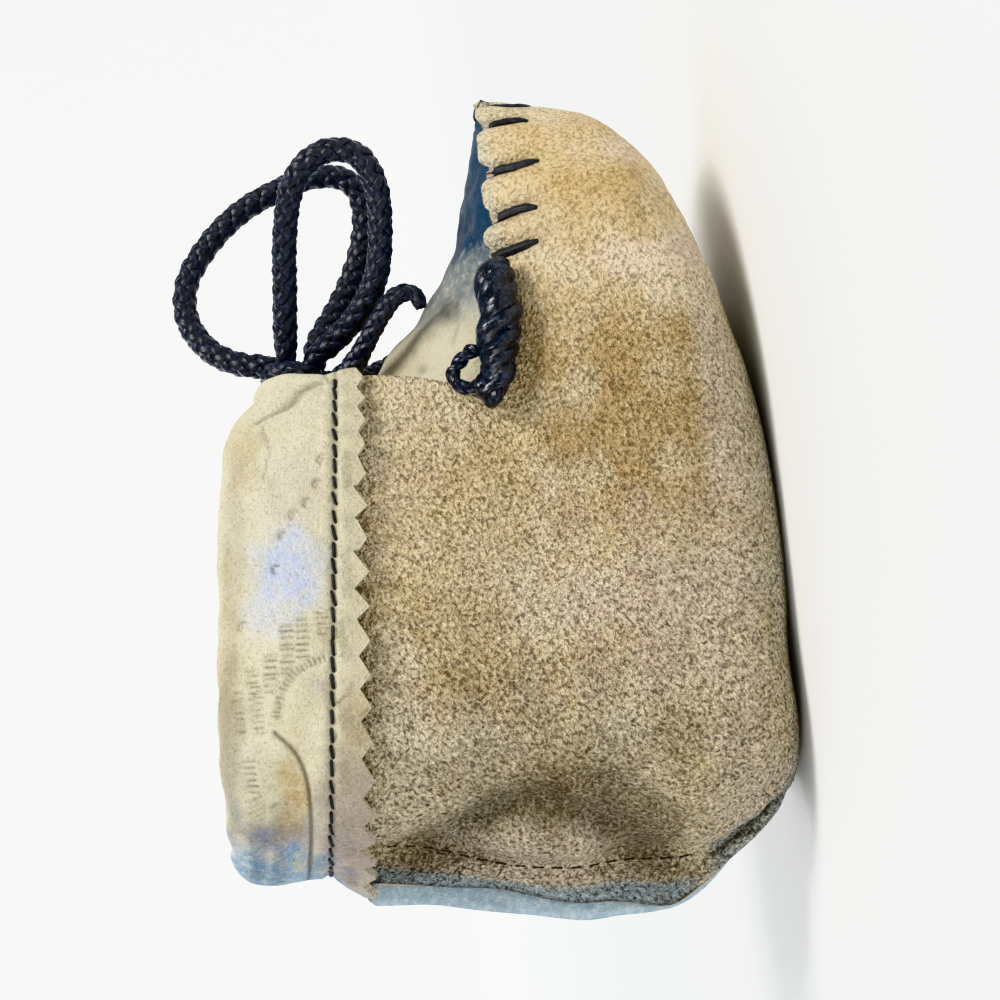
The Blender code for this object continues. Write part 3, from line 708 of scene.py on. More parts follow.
def mouth(side):
    return [runPoint(s, side) for s in mouthShares] + [(78.6, side * 4.9, 61.8)]


# inside the knot: the right half crosses under, the left half turns once round it
knotRight = [(79.2, -1.2, 61.2), (79.6, 1.6, 62.0), (80.6, 0.4, 63.6)]
knotLeft = [(79.0, 1.6, 60.1), (79.4, -1.8, 59.6), (80.4, -3.5, 62.1), (80.7, -1.6, 64.9), (80.3, 1.4, 65.5),
            (79.7, 3.3, 63.4), (79.3, 2.6, 61.4), (80.4, 1.4, 63.2)]
backRight = [(80.2, -1.5, 60.0)]
backLeft = [(80.2, 1.5, 59.9)]


# eight strands plaited round a route given in shoe millimetres; also its own centre points
def braided(route, look, squeeze=None, sealed=True, slim=0.0):
    points = smoothRoute(place(*np.asarray(route, dtype=float).T), look["step"] * mm)
    gone = walkedTo(points) / mm
    a, b, _ = routeFrames(points)
    tight = np.ones(len(points)) if squeeze is None else squeeze(points)
    if sealed:
        tight = tight * (1 - 0.26 * smoothstep((gone - gone[-1] + 5.0) / 5.0))
        tight = tight * (1 - slim * smoothstep((gone - gone[-1] + 19.0) / 8.0))
    parts, fibres = [], []
    for way in (1, -1):
        for k in range(4):
            angle = way * 2 * np.pi * gone / look["lay"] + k * np.pi / 2
            lift = look["middle"] + way * look["weave"] * np.cos(4 * 2 * np.pi * gone / look["lay"])
            out = (lift * tight * mm)[:, None]
            centre = points + out * (a * np.cos(angle)[:, None] + b * np.sin(angle)[:, None])
            # each strand lies flat on the cord: its wide side follows the turn
            frameA, frameB, run = routeFrames(centre)
            radial = centre - points
            radial /= np.maximum(np.linalg.norm(radial, axis=1, keepdims=True), 1e-9)
            turn = np.arctan2((radial * frameB).sum(1), (radial * frameA).sum(1)) - np.pi / 2
            p, f = tubeParts(centre, look["strandWide"] * tight * mm, look["strandThick"] * tight * mm,
                             sides=10, turn=turn)
            rings = len(p) // 10
            fibres.append(np.tile(np.array([0, 1, 0.2, 1, 0.2, 0, 1, 0.2, 1, 0.2]), rings))
            parts.append((p, f))
    p, f = joinParts(parts)
    return p, f, points, np.concatenate(fibres)


# cord squeezed where it passes through the knot
def nearKnot(points):
    far = np.linalg.norm(points - place(*tieCord["knotAt"]), axis=1) / mm
    return 1 - (1 - tieCord["throughKnot"]) * (1 - smoothstep((far - 3.0) / 4.0))


def tieHalf(name, start, knot, loop, back, end, replaced, slim=0.0):
    route = start + knot + loop + back + end
    p, f, line, fibres = braided(route, tieCord, nearKnot, slim=slim)
    mesh = meshFrom(name, p, f)
    addPoints(mesh, "fibre", fibres)
    thing = addPiece(name, mesh, [braid], replaced)
    long = float(np.linalg.norm(np.diff(line, axis=0), axis=1).sum())
    stageLine("%s %.1f mm" % (name, long / mm))


tieHalf("tie_half_right", mouth(-1), knotRight, loopRight, backRight, endRight,
        ["tie_loop_right", "tie_end_right", "tie_knot"], 0.22)
tieHalf("tie_half_left", mouth(1), knotLeft, loopLeft, backLeft, endLeft,
        ["tie_loop_left", "tie_end_left"])


def inCasing(points):
    return np.full(len(points), tieCord["inCasing"])


# the rest of the tie, hidden in the casing between the two halves
def makeRun():
    shares = list(np.linspace(0.86, 0.0, 22))
    route = [runPoint(s, -1) for s in shares] + [runPoint(s, 1) for s in reversed(shares[:-1])]
    coarse = dict(tieCord, step=tieCord["hiddenStep"])
    p, f, line, fibres = braided(route, coarse, inCasing, sealed=False)
    mesh = meshFrom("tie_in_casing", p, f)
    addPoints(mesh, "fibre", fibres)
    addPiece("tie_in_casing", mesh, [braid], ["tie_run"])
    stageLine("run %.1f mm" % (float(np.linalg.norm(np.diff(line, axis=0), axis=1).sum()) / mm))


makeRun()


# suede wrap: bottom, sides, quarters and the standing heel seam

wrapLook = dict(
    thick=1.6, leafHalf=1.64, leafFlat=2.3, flareShare=0.17, seamFoot=(1.6, 4.2), seamTop=61.6,
    levelTop=26.5, underCuff=1.5, archAt=31.0, arch=1.1, roll=0.5, rollWide=2.2, shareLong=75,
    bottomRows=9, leafColumns=6, flareColumns=15, sideColumns=98, toeColumns=90, toeColumnWide=0.62)
# gathers round the toe: where they begin and are full, each pucker, and the scallops of the edge
gatherLook = dict(
    begin=86.0, full=93.0, wide=1.25, deep=1.25, reach=6.0, lip=0.45, notch=1.35, lowerLeft=1.5)
# low on the heel: a ribbed cross seam that drops as it goes forward, and the crack between the leaves
heelLook = dict(
    ribAt=8.6, ribDrop=6.6, rib=1.0, grooveAt=6.6, groove=0.5, crackTop=17.0, crackAt=1.9, crack=0.55,
    lipAt=3.6, lip=0.45)
# painted shade, with some soil, darkens the troughs, puckers, the crack, the near leaf's edge and the fold
# line; the underside is darkened all over
soilAndShadeLook = dict(troughs=0.32, puckers=0.5, crack=0.8, leafEdge=0.8, foldLine=0.4, underside=0.35, most=0.75)
# greyed near the floor, round the toe and on cut edges; the nap is rubbed down over the toes and stands up at
# the heel; blush is the pinkish line beside the leaves; blue is painted shade on the inside of the far leaf,
# faint elsewhere
wearAndShadeLook = dict(
    floorGrey=0.55, toeGrey=0.5, rimGrey=0.9, crackGrey=0.75, seamGrey=0.5, flat=0.06, flatToe=0.30,
    standHeel=0.20, blush=0.9, blueShadeFar=1.0, blueShadeNear=0.25)
# how far each leaf of the seam stands out behind the heel: height, near leaf, far leaf
leafTable = [
    (6.0, 0.25, 0.25), (10.0, 0.45, 0.5), (13.0, 0.9, 1.3), (17.0, 1.9, 2.6), (21.0, 2.9, 3.7),
    (26.0, 2.7, 4.5), (34.0, 1.9, 4.4), (42.0, 1.2, 4.3), (50.0, 1.5, 4.5), (56.0, 1.9, 4.8),
    (61.6, 2.2, 5.1)]

# troughs (depth > 0) and ridges (depth < 0): side, route of (along, height), half width, depth
creases = [
    (-1, [(11.2, 61.5), (12.0, 57.0), (13.8, 50.0), (16.0, 43.0), (15.4, 36.4), (12.0, 29.4), (8.2, 23.8),
          (5.4, 20.0), (3.2, 17.6)], 2.6, 2.7),
    (-1, [(20.4, 42.0), (19.6, 34.0), (16.6, 27.0), (12.4, 21.4), (8.6, 17.6), (6.0, 15.6)], 3.2, 1.6),
    (-1, [(8.6, 54.0), (9.2, 47.0), (9.0, 39.0), (6.8, 32.0)], 2.3, -0.8),
    (-1, [(12.5, 13.0), (10.4, 14.6), (6.6, 17.6)], 1.6, -0.6),
    (-1, [(28.0, 46.0), (28.0, 34.0), (25.5, 24.0), (20.0, 14.5)], 4.2, -0.9),
    (-1, [(55.0, 18.0), (62.0, 24.0), (66.0, 31.0)], 3.6, 0.55),
    (-1, [(84.0, 26.0), (88.0, 19.0), (89.0, 11.0)], 2.6, 0.45),
    (-1, [(91.5, 24.0), (93.0, 17.0), (92.5, 10.0)], 3.0, -0.45),
    (-1, [(40.0, 55.0), (46.0, 47.0), (54.0, 42.0)], 3.4, 0.6),
    (-1, [(66.0, 54.0), (64.5, 47.0), (61.0, 41.0)], 2.2, 0.5),
    (-1, [(30.0, 10.0), (40.0, 13.0), (52.0, 11.0)], 3.6, 0.5),
    (1, [(17.0, 58.0), (18.5, 48.0), (17.0, 37.0), (12.5, 29.0), (8.0, 22.0)], 2.6, 1.9),
    (1, [(23.0, 34.0), (22.0, 25.0), (16.0, 18.0), (11.0, 13.0)], 2.8, 1.1),
    (1, [(47.0, 56.0), (50.0, 47.0), (57.0, 40.0)], 3.2, 0.7),
    (1, [(66.0, 30.0), (60.0, 22.0), (52.0, 17.0)], 3.6, 0.6),
    (1, [(86.0, 25.0), (90.0, 17.0), (90.0, 9.0)], 2.8, 0.5),
    (1, [(34.0, 40.0), (42.0, 34.0), (50.0, 34.0)], 4.2, -0.6)]

# tone patches on each side: side, along, height, half length, half height, strength
stains = [
    (-1, 66, 19.5, 18, 12, 0.84), (-1, 39, 44, 13, 8, 0.42), (-1, 95.2, 19, 7.0, 9.5, 0.66),
    (-1, 105.5, 21, 3.5, 7, 0.45), (-1, 98, 22, 16, 12, 0.45), (-1, 81, 24, 5, 9, 0.55),
    (-1, 60, 40, 12, 9, 0.34), (-1, 13, 24, 7, 7, 0.30), (-1, 20, 38, 4, 12, 0.30),
    (-1, 29, 17, 10, 7, 0.28), (-1, 76, 28, 8, 5, 0.35),
    (1, 30, 22, 12, 12, 0.55), (1, 62, 20, 16, 8, 0.45), (1, 55, 46, 9, 7, 0.35), (1, 92, 15, 9, 7, 0.35),
    (1, 14, 40, 5, 14, 0.45), (1, 16, 12, 7, 5, 0.5)]
# shades: painted shade over the troughs behind the heel and under the cuff's edge
shades = [
    (-1, 23, 36, 13, 20, 0.24), (-1, 9, 24, 9, 6, 0.22), (-1, 34, 60, 20, 4, 0.12), (1, 18, 34, 13, 16, 0.2)]
# pale patches; the strongest, behind the heel near along 5 to 8, are a painted highlight on the raised pillow
# beside the trough
pales = [
    (-1, 41, 19, 12, 14, 0.62), (-1, 50, 7, 30, 4.5, 0.55), (-1, 102.4, 15, 2.6, 6, 0.55),
    (-1, 86.4, 13, 2.8, 9, 0.70), (-1, 96, 5, 9, 4.5, 0.60), (-1, 7.6, 45, 4.2, 13, 1.0),
    (-1, 5.0, 30, 3.0, 10, 0.6), (-1, 60, 52, 10, 6, 0.30), (-1, 25, 8, 10, 5, 0.45),
    (-1, 8, 42, 5, 16, 0.80), (-1, 13, 8, 4, 6, 0.75), (-1, 16, 11, 8, 5, 0.55),
    (1, 48, 33, 13, 8, 0.5), (1, 80, 12, 14, 5, 0.5), (1, 38, 8, 18, 5, 0.5), (1, 105, 22, 8, 6, 0.5)]


def patchField(patches, side, along, height):
    total = np.zeros(np.shape(along))
    for patchSide, a, z, da, dz, strength in patches:
        wobble = 0.22 * np.sin(along * 0.55 + z) + 0.22 * np.sin(height * 0.7 + a)
        far = ovalFar(along, height, a, z, da, dz) + wobble
        total = np.where(side == patchSide, np.maximum(total, strength * smoothstep(1.35 - far)), total)
    return total


def creaseField(side, along, height, spread=1.0):
    total = np.zeros(np.shape(along))
    for creaseSide, line, wide, deep in creases:
        far, where = nearLine(along, height, smoothLine(line, 1.5))
        ends = np.sin(np.pi * np.clip(where, 0.04, 0.96)) ** 0.6
        total -= np.where(side == creaseSide, deep * ends * np.exp(-(far / wide / spread) ** 2), 0.0)
    return total


# smooth unevenness about size mm across, between -1 and 1
def softNoise(points, size, seed):
    waves = np.random.default_rng(seed)
    total = np.zeros(points.shape[:-1])
    for octave in range(3):
        for _ in range(5):
            way = waves.normal(size=3)
            way *= 2 * np.pi / (size * mm) / 1.7 ** -octave / np.linalg.norm(way)
            total += 0.62 ** octave * np.sin(points @ way + waves.uniform(0, 6.28))
    return total / 4.6


# rows of the wrap as heights for each column, and the number of the row that follows the apron seam
def wrapHeights(shares):
    toSeam, quarter, levelTop = 14, 40, wrapLook["levelTop"]
    low = np.concatenate([np.arange(0, 6, 0.25), np.arange(6, 10, 0.45), np.arange(10, 15, 0.6),
                          np.arange(15, levelTop, 0.7)])
    seam = seamHeight(shares)
    rows = [np.full(len(shares), h) for h in low]
    for k in range(1, toSeam + 1):
        rows.append(levelTop + (seam - levelTop) * k / toSeam)
    seamRow = len(rows) - 1
    rim = stitchHeight(np.minimum(shares, 1.0)) + wrapLook["underCuff"]
    for k in range(1, quarter + 1):
        rows.append(seam + np.maximum(rim - seam, 0) * k / quarter)
    return np.array(rows), seamRow


# plan of the heel from the leaf's cut edge to the wall: (along, half), one more axis for the columns
def heelColumns(height, count, leaves, proud):
    heelAt = station(height, 0.0)[0]
    share = wrapLook["flareShare"]
    joinAt = station(height, share)
    ahead = station(height, share + 0.02)
    wayA, wayH = ahead[0] - joinAt[0], ahead[1] - joinAt[1]
    size = np.hypot(wayA, wayH)
    wayA, wayH = wayA / size, wayH / size
    root = (heelAt + wrapLook["leafFlat"], np.full_like(heelAt, wrapLook["leafHalf"]))
    reach = np.hypot(joinAt[0] - root[0], joinAt[1] - root[1])
    alongs, halves = [], []
    for k in range(leaves):
        t = k / leaves
        alongs.append(heelAt - proud + (wrapLook["leafFlat"] + proud) * t)
        halves.append(np.full_like(heelAt, wrapLook["leafHalf"]))
    for k in range(count):
        t = k / count
        b = [(1 - t) ** 3, 3 * t * (1 - t) ** 2, 3 * t * t * (1 - t), t ** 3]
        one = (root[0] + reach * 0.36, root[1] + reach * 0.02)
        two = (joinAt[0] - wayA * reach * 0.42, joinAt[1] - wayH * reach * 0.42)
        alongs.append(b[0] * root[0] + b[1] * one[0] + b[2] * two[0] + b[3] * joinAt[0])
        halves.append(b[0] * root[1] + b[1] * one[1] + b[2] * two[1] + b[3] * joinAt[1])
    return np.array(alongs), np.array(halves)


# base points of one side and each column's share, heel edge first
def wrapSide(side):
    leaves, flare = wrapLook["leafColumns"], wrapLook["flareColumns"]
    heelShares = np.concatenate([np.zeros(leaves), wrapLook["flareShare"] * np.arange(flare) / flare])
    sideShares = np.linspace(wrapLook["flareShare"], 1, wrapLook["sideColumns"], endpoint=False)
    shares = np.concatenate([heelShares, sideShares, np.linspace(1, 2, wrapLook["toeColumns"])])
    heights, seamRow = wrapHeights(shares)
    lastShare = np.where(np.arange(len(heights))[:, None] > seamRow, np.minimum(shares, 1.0), shares)
    along, half = station(heights, lastShare)
    count = leaves + flare
    h = heights[:, 0]
    foot, head = wrapLook["seamFoot"]
    grown = smoothstep((h - foot) / (head - foot))
    closing = 1 - smoothstep((h - wrapLook["seamTop"]) / 0.7)
    proud = hermite(*np.array(leafTable)[:, [0, 1 if side < 0 else 2]].T, h)
    proud = (proud + 0.16 * np.sin(h * 0.42 + side)) * closing
    a, b = heelColumns(h, flare, leaves, proud)
    share = (grown * closing)[:, None]
    along[:, :count] = along[:, :count] * (1 - share) + a.T * share
    half[:, :count] = half[:, :count] * (1 - share) + b.T * share
    points = place(along, side * half, heights)
    bottom = wrapLook["bottomRows"]
    under = np.repeat(points[:1], bottom, axis=0)
    under[..., 1] *= (np.arange(bottom) / bottom)[:, None]
    return np.concatenate([under, points]), shares, seamRow + bottom


# joins the grid's meeting points and turns the underside to the floor
def closeSeams(mesh):
    shape = bmesh.new()
    shape.from_mesh(mesh)
    bmesh.ops.remove_doubles(shape, verts=shape.verts, dist=0.00002)
    bmesh.ops.dissolve_degenerate(shape, edges=shape.edges, dist=0.00001)
    bmesh.ops.delete(shape, geom=[v for v in shape.verts if not v.link_faces], context="VERTS")
    shape.normal_update()
    for face in shape.faces:
        if face.normal.z > 0 and max(v.co.z for v in face.verts) < 0.00001:
            face.normal_flip()
    shape.to_mesh(mesh)
    shape.free()


# the wall thins where the two leaves of the heel seam close up
def thinLeaves(thing, thick):
    group = thing.vertex_groups.new(name="wall")
    thick.vertex_group = "wall"
    spots = np.empty(len(thing.data.vertices) * 3)
    thing.data.vertices.foreach_get("co", spots)
    spots = spots.reshape(-1, 3) / mm
    thinnest, closedBelow, leafWide = 0.08, 20, 1.66
    inLeaf = spots[:, 0] + shoeLength / 2 < station(spots[:, 2], 0.0)[0] + wrapLook["leafFlat"] + 0.6
    wall = np.clip(np.abs(spots[:, 1]) / leafWide, thinnest, 1.0)
    wall = np.round(np.where(inLeaf & (spots[:, 2] < closedBelow), wall, 1.0), 1)
    for step in np.unique(wall):
        group.add(np.nonzero(wall == step)[0].tolist(), float(max(step, thinnest)), "REPLACE")


def makeWrap():
    right, shares, seamRow = wrapSide(-1)
    left = wrapSide(1)[0]
    points = np.concatenate([right, left[:, -2::-1]], axis=1)
    rightShares, half = shares, right.shape[1]
    shares = np.concatenate([shares, shares[-2::-1]])
    sides = np.concatenate([-np.ones(half), np.ones(left.shape[1] - 1)])
    rows, columns = points.shape[:2]
    rowNumbers = np.arange(rows)[:, None]
    bottom = wrapLook["bottomRows"]
    side = np.broadcast_to(sides, (rows, columns))
    along = points[..., 0] / mm + shoeLength / 2
    height = points[..., 2] / mm
    behind = along - station(height, 0.0)[0]
    normals = gridNormals(points)

    # puckers where the whip stitches draw the edge in
    gather = gatherLook
    gone = walkedTo(points[seamRow]) / mm
    tip = gone[half - 1]
    below = np.clip(seamHeight(shares)[None] - height, 0, None)
    drawn = np.zeros((rows, columns))
    notch = np.zeros(columns)
    for s in whipShares:
        here = np.interp(s, rightShares, gone[:half])
        for at in ({here, 2 * tip - here} if s < 2 else {tip}):
            notch = np.maximum(notch, hump(gone, at, gather["wide"]))
            drawn = np.maximum(drawn, hump(gone[None], at, 1.0 + 0.10 * below)
                               * hump(below, 0, gather["reach"]))
    toeZone = smoothstep((along - gather["begin"]) / (gather["full"] - gather["begin"]))
    toeZone = toeZone * (rowNumbers >= bottom)
    tipCalm = 1 - 0.5 * smoothstep((shares - 1.90) / 0.08)
    move = -gather["deep"] * drawn * toeZone * tipCalm + gather["lip"] * hump(below, 0, 4.0) * toeZone

    # creases and unevenness, quiet near the floor and the heel seam
    move += creaseField(side, along, height) * (rowNumbers >= bottom)
    uneven = softNoise(points, 21.0, 3) * 0.42 + softNoise(points, 8.0, 5) * 0.16
    heel = smoothstep((behind - 1.5) / 5.0)
    move += uneven * smoothstep((height - 0.2) / 4.0) * (0.25 + 0.75 * heel)

    # cross seam low on the heel, with small puckers along it
    ribShare = 1 - smoothstep((shares - 0.20) / 0.14)
    ribAt = heelLook["ribAt"] - heelLook["ribDrop"] * shares[None]
    rib = heelLook["rib"] * hump(height, ribAt, 1.0) * ribShare
    pucker = 0.75 + 0.25 * np.sin(gone[None] * 2.2)
    groove = heelLook["groove"] * hump(height, heelLook["grooveAt"], 1.2) * ribShare
    move += (rib * pucker - groove) * heel

    # below the cross seam the two leaves part
    low = smoothstep((height - 0.8) / 1.5) * smoothstep((heelLook["crackTop"] - height) / 5.0)
    low = low * (rowNumbers >= bottom)
    crack = hump(behind, heelLook["crackAt"], 0.42) * low
    move += heelLook["lip"] * hump(behind, heelLook["lipAt"], 1.0) * low - heelLook["crack"] * crack

    moved = points + normals * (move * mm)[..., None]
    # scalloped top edge between the stitches
    calm = 1 - 0.80 * smoothstep((shares - 1.88) / 0.08)
    lower = np.where(sides > 0, gather["lowerLeft"] * smoothstep((shares - 1.50) / 0.30), 0.0)
    top = hump(below, 0, 1.6) * toeZone
    moved[..., 2] += ((gather["lip"] - gather["notch"] * notch) * calm - lower)[None] * top * mm
    # slight arch under the waist of the foot
    arch = wrapLook["arch"] * hump(along, wrapLook["archAt"], 8.0) * hump(height, 0, 4.0)
    moved[..., 2] += arch * mm * smoothstep(np.abs(points[..., 1]) / mm / 8.0)
    # front edges of the quarters turn out a little
    roll = hump((shares[None] - 1.0) * wrapLook["shareLong"], 0, wrapLook["rollWide"])
    roll = roll * (rowNumbers > seamRow)
    roll *= smoothstep((height - 38.0) / 6.0)
    moved += normals * (wrapLook["roll"] * roll * mm)[..., None]
    moved[..., 2] = np.maximum(moved[..., 2], 0.0)

    quarterEdge = np.searchsorted(np.round(rightShares, 6), 1.0)

    def keep(i, j):
        return (i < seamRow) | (j < quarterEdge) | (j >= columns - 1 - quarterEdge)

    mesh = meshFrom("suede_wrap", moved, gridFaces(rows, columns, keep=keep))

    # painted shade, with some soil: troughs, puckers, the crack, the near leaf's edge, the fold line and the
    # shade patches
    soilAndShade = soilAndShadeLook["troughs"] * np.clip(-creaseField(side, along, height, 1.1) - 0.55, 0, 1.9)
    soilAndShade += soilAndShadeLook["puckers"] * drawn * toeZone + soilAndShadeLook["crack"] * crack
    onLeaf = smoothstep((height - 15.0) / 3.0)
    foldLine = hump(behind, -np.where(side < 0, 9.0, 0.4), 0.5) * onLeaf
    ring = np.minimum(np.arange(columns), np.arange(columns)[::-1])[None]
    soilAndShade += soilAndShadeLook["leafEdge"] * (ring < 1) * (side < 0) * onLeaf + soilAndShadeLook["foldLine"] * foldLine
    soilAndShade += patchField(shades, side, along, height)
    soilAndShade = np.where(rowNumbers < bottom, soilAndShadeLook["underside"], soilAndShade)
    wearAndShade = wearAndShadeLook
    grey = wearAndShade["floorGrey"] * hump(height, 0, 3.5) + wearAndShade["toeGrey"] * smoothstep((along - 108) / 6)
    # rim: the edges of the heel leaves, given a bluish painted shade and grey
    rim = (1 - smoothstep((behind + 0.3) / 0.9)) * smoothstep((height - 14.0) / 6.0)
    band = (1 - smoothstep((behind - 2.8) / 1.6)) * low
    grey = np.maximum(grey, np.maximum(wearAndShade["rimGrey"] * rim, wearAndShade["crackGrey"] * band))
    grey = np.maximum(grey, wearAndShade["seamGrey"] * hump(below, 0, 1.5) * toeZone)
    smooth = wearAndShade["flat"] + wearAndShade["flatToe"] * smoothstep((along - 66.0) / 36.0)
    smooth = smooth - wearAndShade["standHeel"] * (1 - smoothstep((along - 14.0) / 50.0))
    blush = hump(behind, 1.0, 0.7) * smoothstep((height - 20) / 6) + hump(behind, 4.6, 1.2) * low
    fields = dict(
        stain=patchField(stains, side, along, height),
        pale=np.maximum(patchField(pales, side, along, height), wearAndShade["blush"] * blush),
        smooth=smooth,
        rim=np.where(height > 14, rim, 0.45 * band),
        soilAndShade=np.clip(soilAndShade, 0, soilAndShadeLook["most"]),
        grey=np.clip(grey, 0, 1),
        # blue: painted shade on the inside face of the far leaf, faint elsewhere
        blueShade=np.where((side > 0) & (behind < 1.2) & (height > 11), wearAndShade["blueShadeFar"], wearAndShade["blueShadeNear"]))
    for name, values in fields.items():
        addPoints(mesh, name, np.broadcast_to(values, (rows, columns)))
    closeSeams(mesh)
    thing = addPiece("suede_wrap", mesh, [suede, suedeInside, suedeEdge], ["upper"])
    thinLeaves(thing, thicken(thing, wrapLook["thick"]))
    stageLine("wrap %d faces" % len(mesh.polygons))
    return moved, shares, seamRow, half


wrapPoints, wrapShares, wrapSeamRow, wrapHalf = makeWrap()


# tooled cuff: a folded strip round the collar, its lower edge pinked

cuffLook = dict(
    thick=1.1, face=1.65, inside=-3.25, flapFront=4.0, flapBack=6.0, hem=3.0, cell=0.285,
    tooth=3.6, backTooth=1.3, heelTooth=0.7, toothDeep=1.75, groove=0.5, mouth=-0.95, spread=2.4,
    curl=0.9, puff=0.14, frontFold=0.55, frontCrease=0.40, uneven=0.42, fineUneven=0.12,
    pressDark=0.85, seamDark=0.42, toothDark=0.30, khaki=0.22, khakiHeel=0.55)
cuffRows = (17, 61, 20)      # grid rows of the flap, the face up to the fold, and the inside
# distance out from the wrap's face, share of the height between the stitch line and the fold
cuffFold = [(1.75, 0.12), (2.15, 0.35), (2.3, 0.65), (1.5, 0.88), (-0.8, 1.0), (-3.1, 0.88), (-4.1, 0.65),
            (-4.0, 0.35), (-3.4, 0.12)]

# tooling, in millimetres from the front end and above the stitch line
# cuts and bevels: route, half width, depth (and shading); combs and hatches: route, length, pitch (and lean)
# raised places and tones: centre, half length, half height, height or strength
# in both tables the lilac ovals are a painted highlight; the blue ovals and the shade ovals are painted shade
toolRight = dict(
    cuts=[([(47.4, 7.6), (48.8, 6.1), (50.4, 4.7), (53.0, 3.5), (57.0, 2.9), (64.0, 2.7), (72.0, 2.9),
            (84.0, 3.2)], 0.30, 0.52, 0.92),
          ([(6.0, 9.8), (9.5, 8.8), (13.5, 9.6)], 0.20, 0.16, 0.38),
          ([(5.2, 10.6), (4.4, 8.8), (3.4, 5.4), (2.8, 3.4), (2.4, 1.6)], 0.20, 0.34, 0.55)],
    bevels=[([(47.0, 8.0), (49.6, 5.8), (52.2, 4.5), (57.0, 4.0), (66.0, 3.9), (84.0, 4.3)], 1.5, 0.24)],
    crescents=[(11.1, 1.6), (14.5, 2.2), (17.0, 3.6), (18.6, 5.4), (21.3, 6.8), (25.8, 7.6), (33.0, 12.0)],
    combs=[([(31.8, 1.5), (34.6, 1.3)], 1.3, 0.78), ([(32.6, 4.2), (37.6, 4.0)], 1.5, 0.80),
           ([(33.4, 6.1), (39.8, 5.9)], 1.5, 0.80), ([(37.2, 8.2), (42.0, 8.0)], 1.5, 0.80),
           ([(39.0, 10.8), (43.0, 10.0), (47.4, 9.6)], 1.4, 0.80), ([(42.0, 12.6), (47.0, 12.0)], 1.2, 0.85),
           ([(51.0, 10.9), (55.2, 10.4)], 1.4, 0.80),
           ([(37.8, 1.2), (38.6, 3.2), (40.0, 5.2), (42.2, 6.6), (45.4, 7.3)], 0.8, 0.62)],
    hatches=[([(50.0, 13.2), (55.0, 13.6), (62.0, 13.0)], 1.8, 0.85, 0.5),
             ([(56.0, 10.0), (63.0, 9.6), (72.0, 9.8)], 2.2, 0.80, 0.5),
             ([(57.0, 7.4), (64.0, 7.0), (74.0, 7.2)], 1.6, 0.80, 0.5),
             ([(24.0, -1.6), (29.5, -2.2)], 1.4, 0.62, 0.6), ([(33.0, -0.9), (37.0, -1.6)], 1.2, 0.62, 0.6),
             ([(43.0, -1.6), (47.5, -2.4)], 2.2, 0.58, 0.7), ([(45.0, -4.2), (48.6, -4.2)], 1.6, 0.58, 0.7),
             ([(11.0, -1.4), (14.6, -1.9)], 1.2, 0.62, 0.6), ([(52.0, -1.6), (55.0, -2.4)], 1.6, 0.62, 0.6),
             ([(60.0, -2.0), (66.0, -2.6)], 1.8, 0.70, 0.6), ([(69.0, -2.4), (75.0, -3.2)], 1.6, 0.70, 0.6)],
    raised=[(45.2, 2.6, 4.6, 3.0, 0.22)],
    seeds=[], shift=3.4,
    gold=[(59.0, 5.2, 9.0, 2.2, 0.85), (60.0, 5.6, 6.0, 1.6, 0.6), (11.0, 12.6, 5.0, 2.6, 0.42),
          (36.5, 14.5, 14.0, 1.6, 0.30), (46.0, -3.6, 2.6, 2.4, 0.30)],
    paintedLightAndShade=[(26.4, 6.4, 5.8, 4.6, 1.0), (31.4, 8.6, 3.4, 3.2, 0.50)],
    pink=[(66.0, -2.4, 14.0, 5.0, 0.75), (62.8, 7.6, 2.8, 6.0, 0.85), (41.6, 1.8, 1.6, 1.2, 0.6),
          (15.0, 5.0, 5.0, 4.0, 0.35)],
    blueShade=[(81.0, 9.0, 17.0, 10.0, 1.4), (84.0, -3.0, 7.0, 5.0, 0.65)],
    shade=[(61.4, 8.6, 2.4, 5.6, 0.40), (50.0, 13.8, 14.0, 2.4, 0.40), (24.0, 13.6, 14.0, 1.8, 0.20),
           (60.0, -3.0, 12.0, 5.0, 0.30), (53.5, 10.5, 5.0, 3.6, 0.14)])
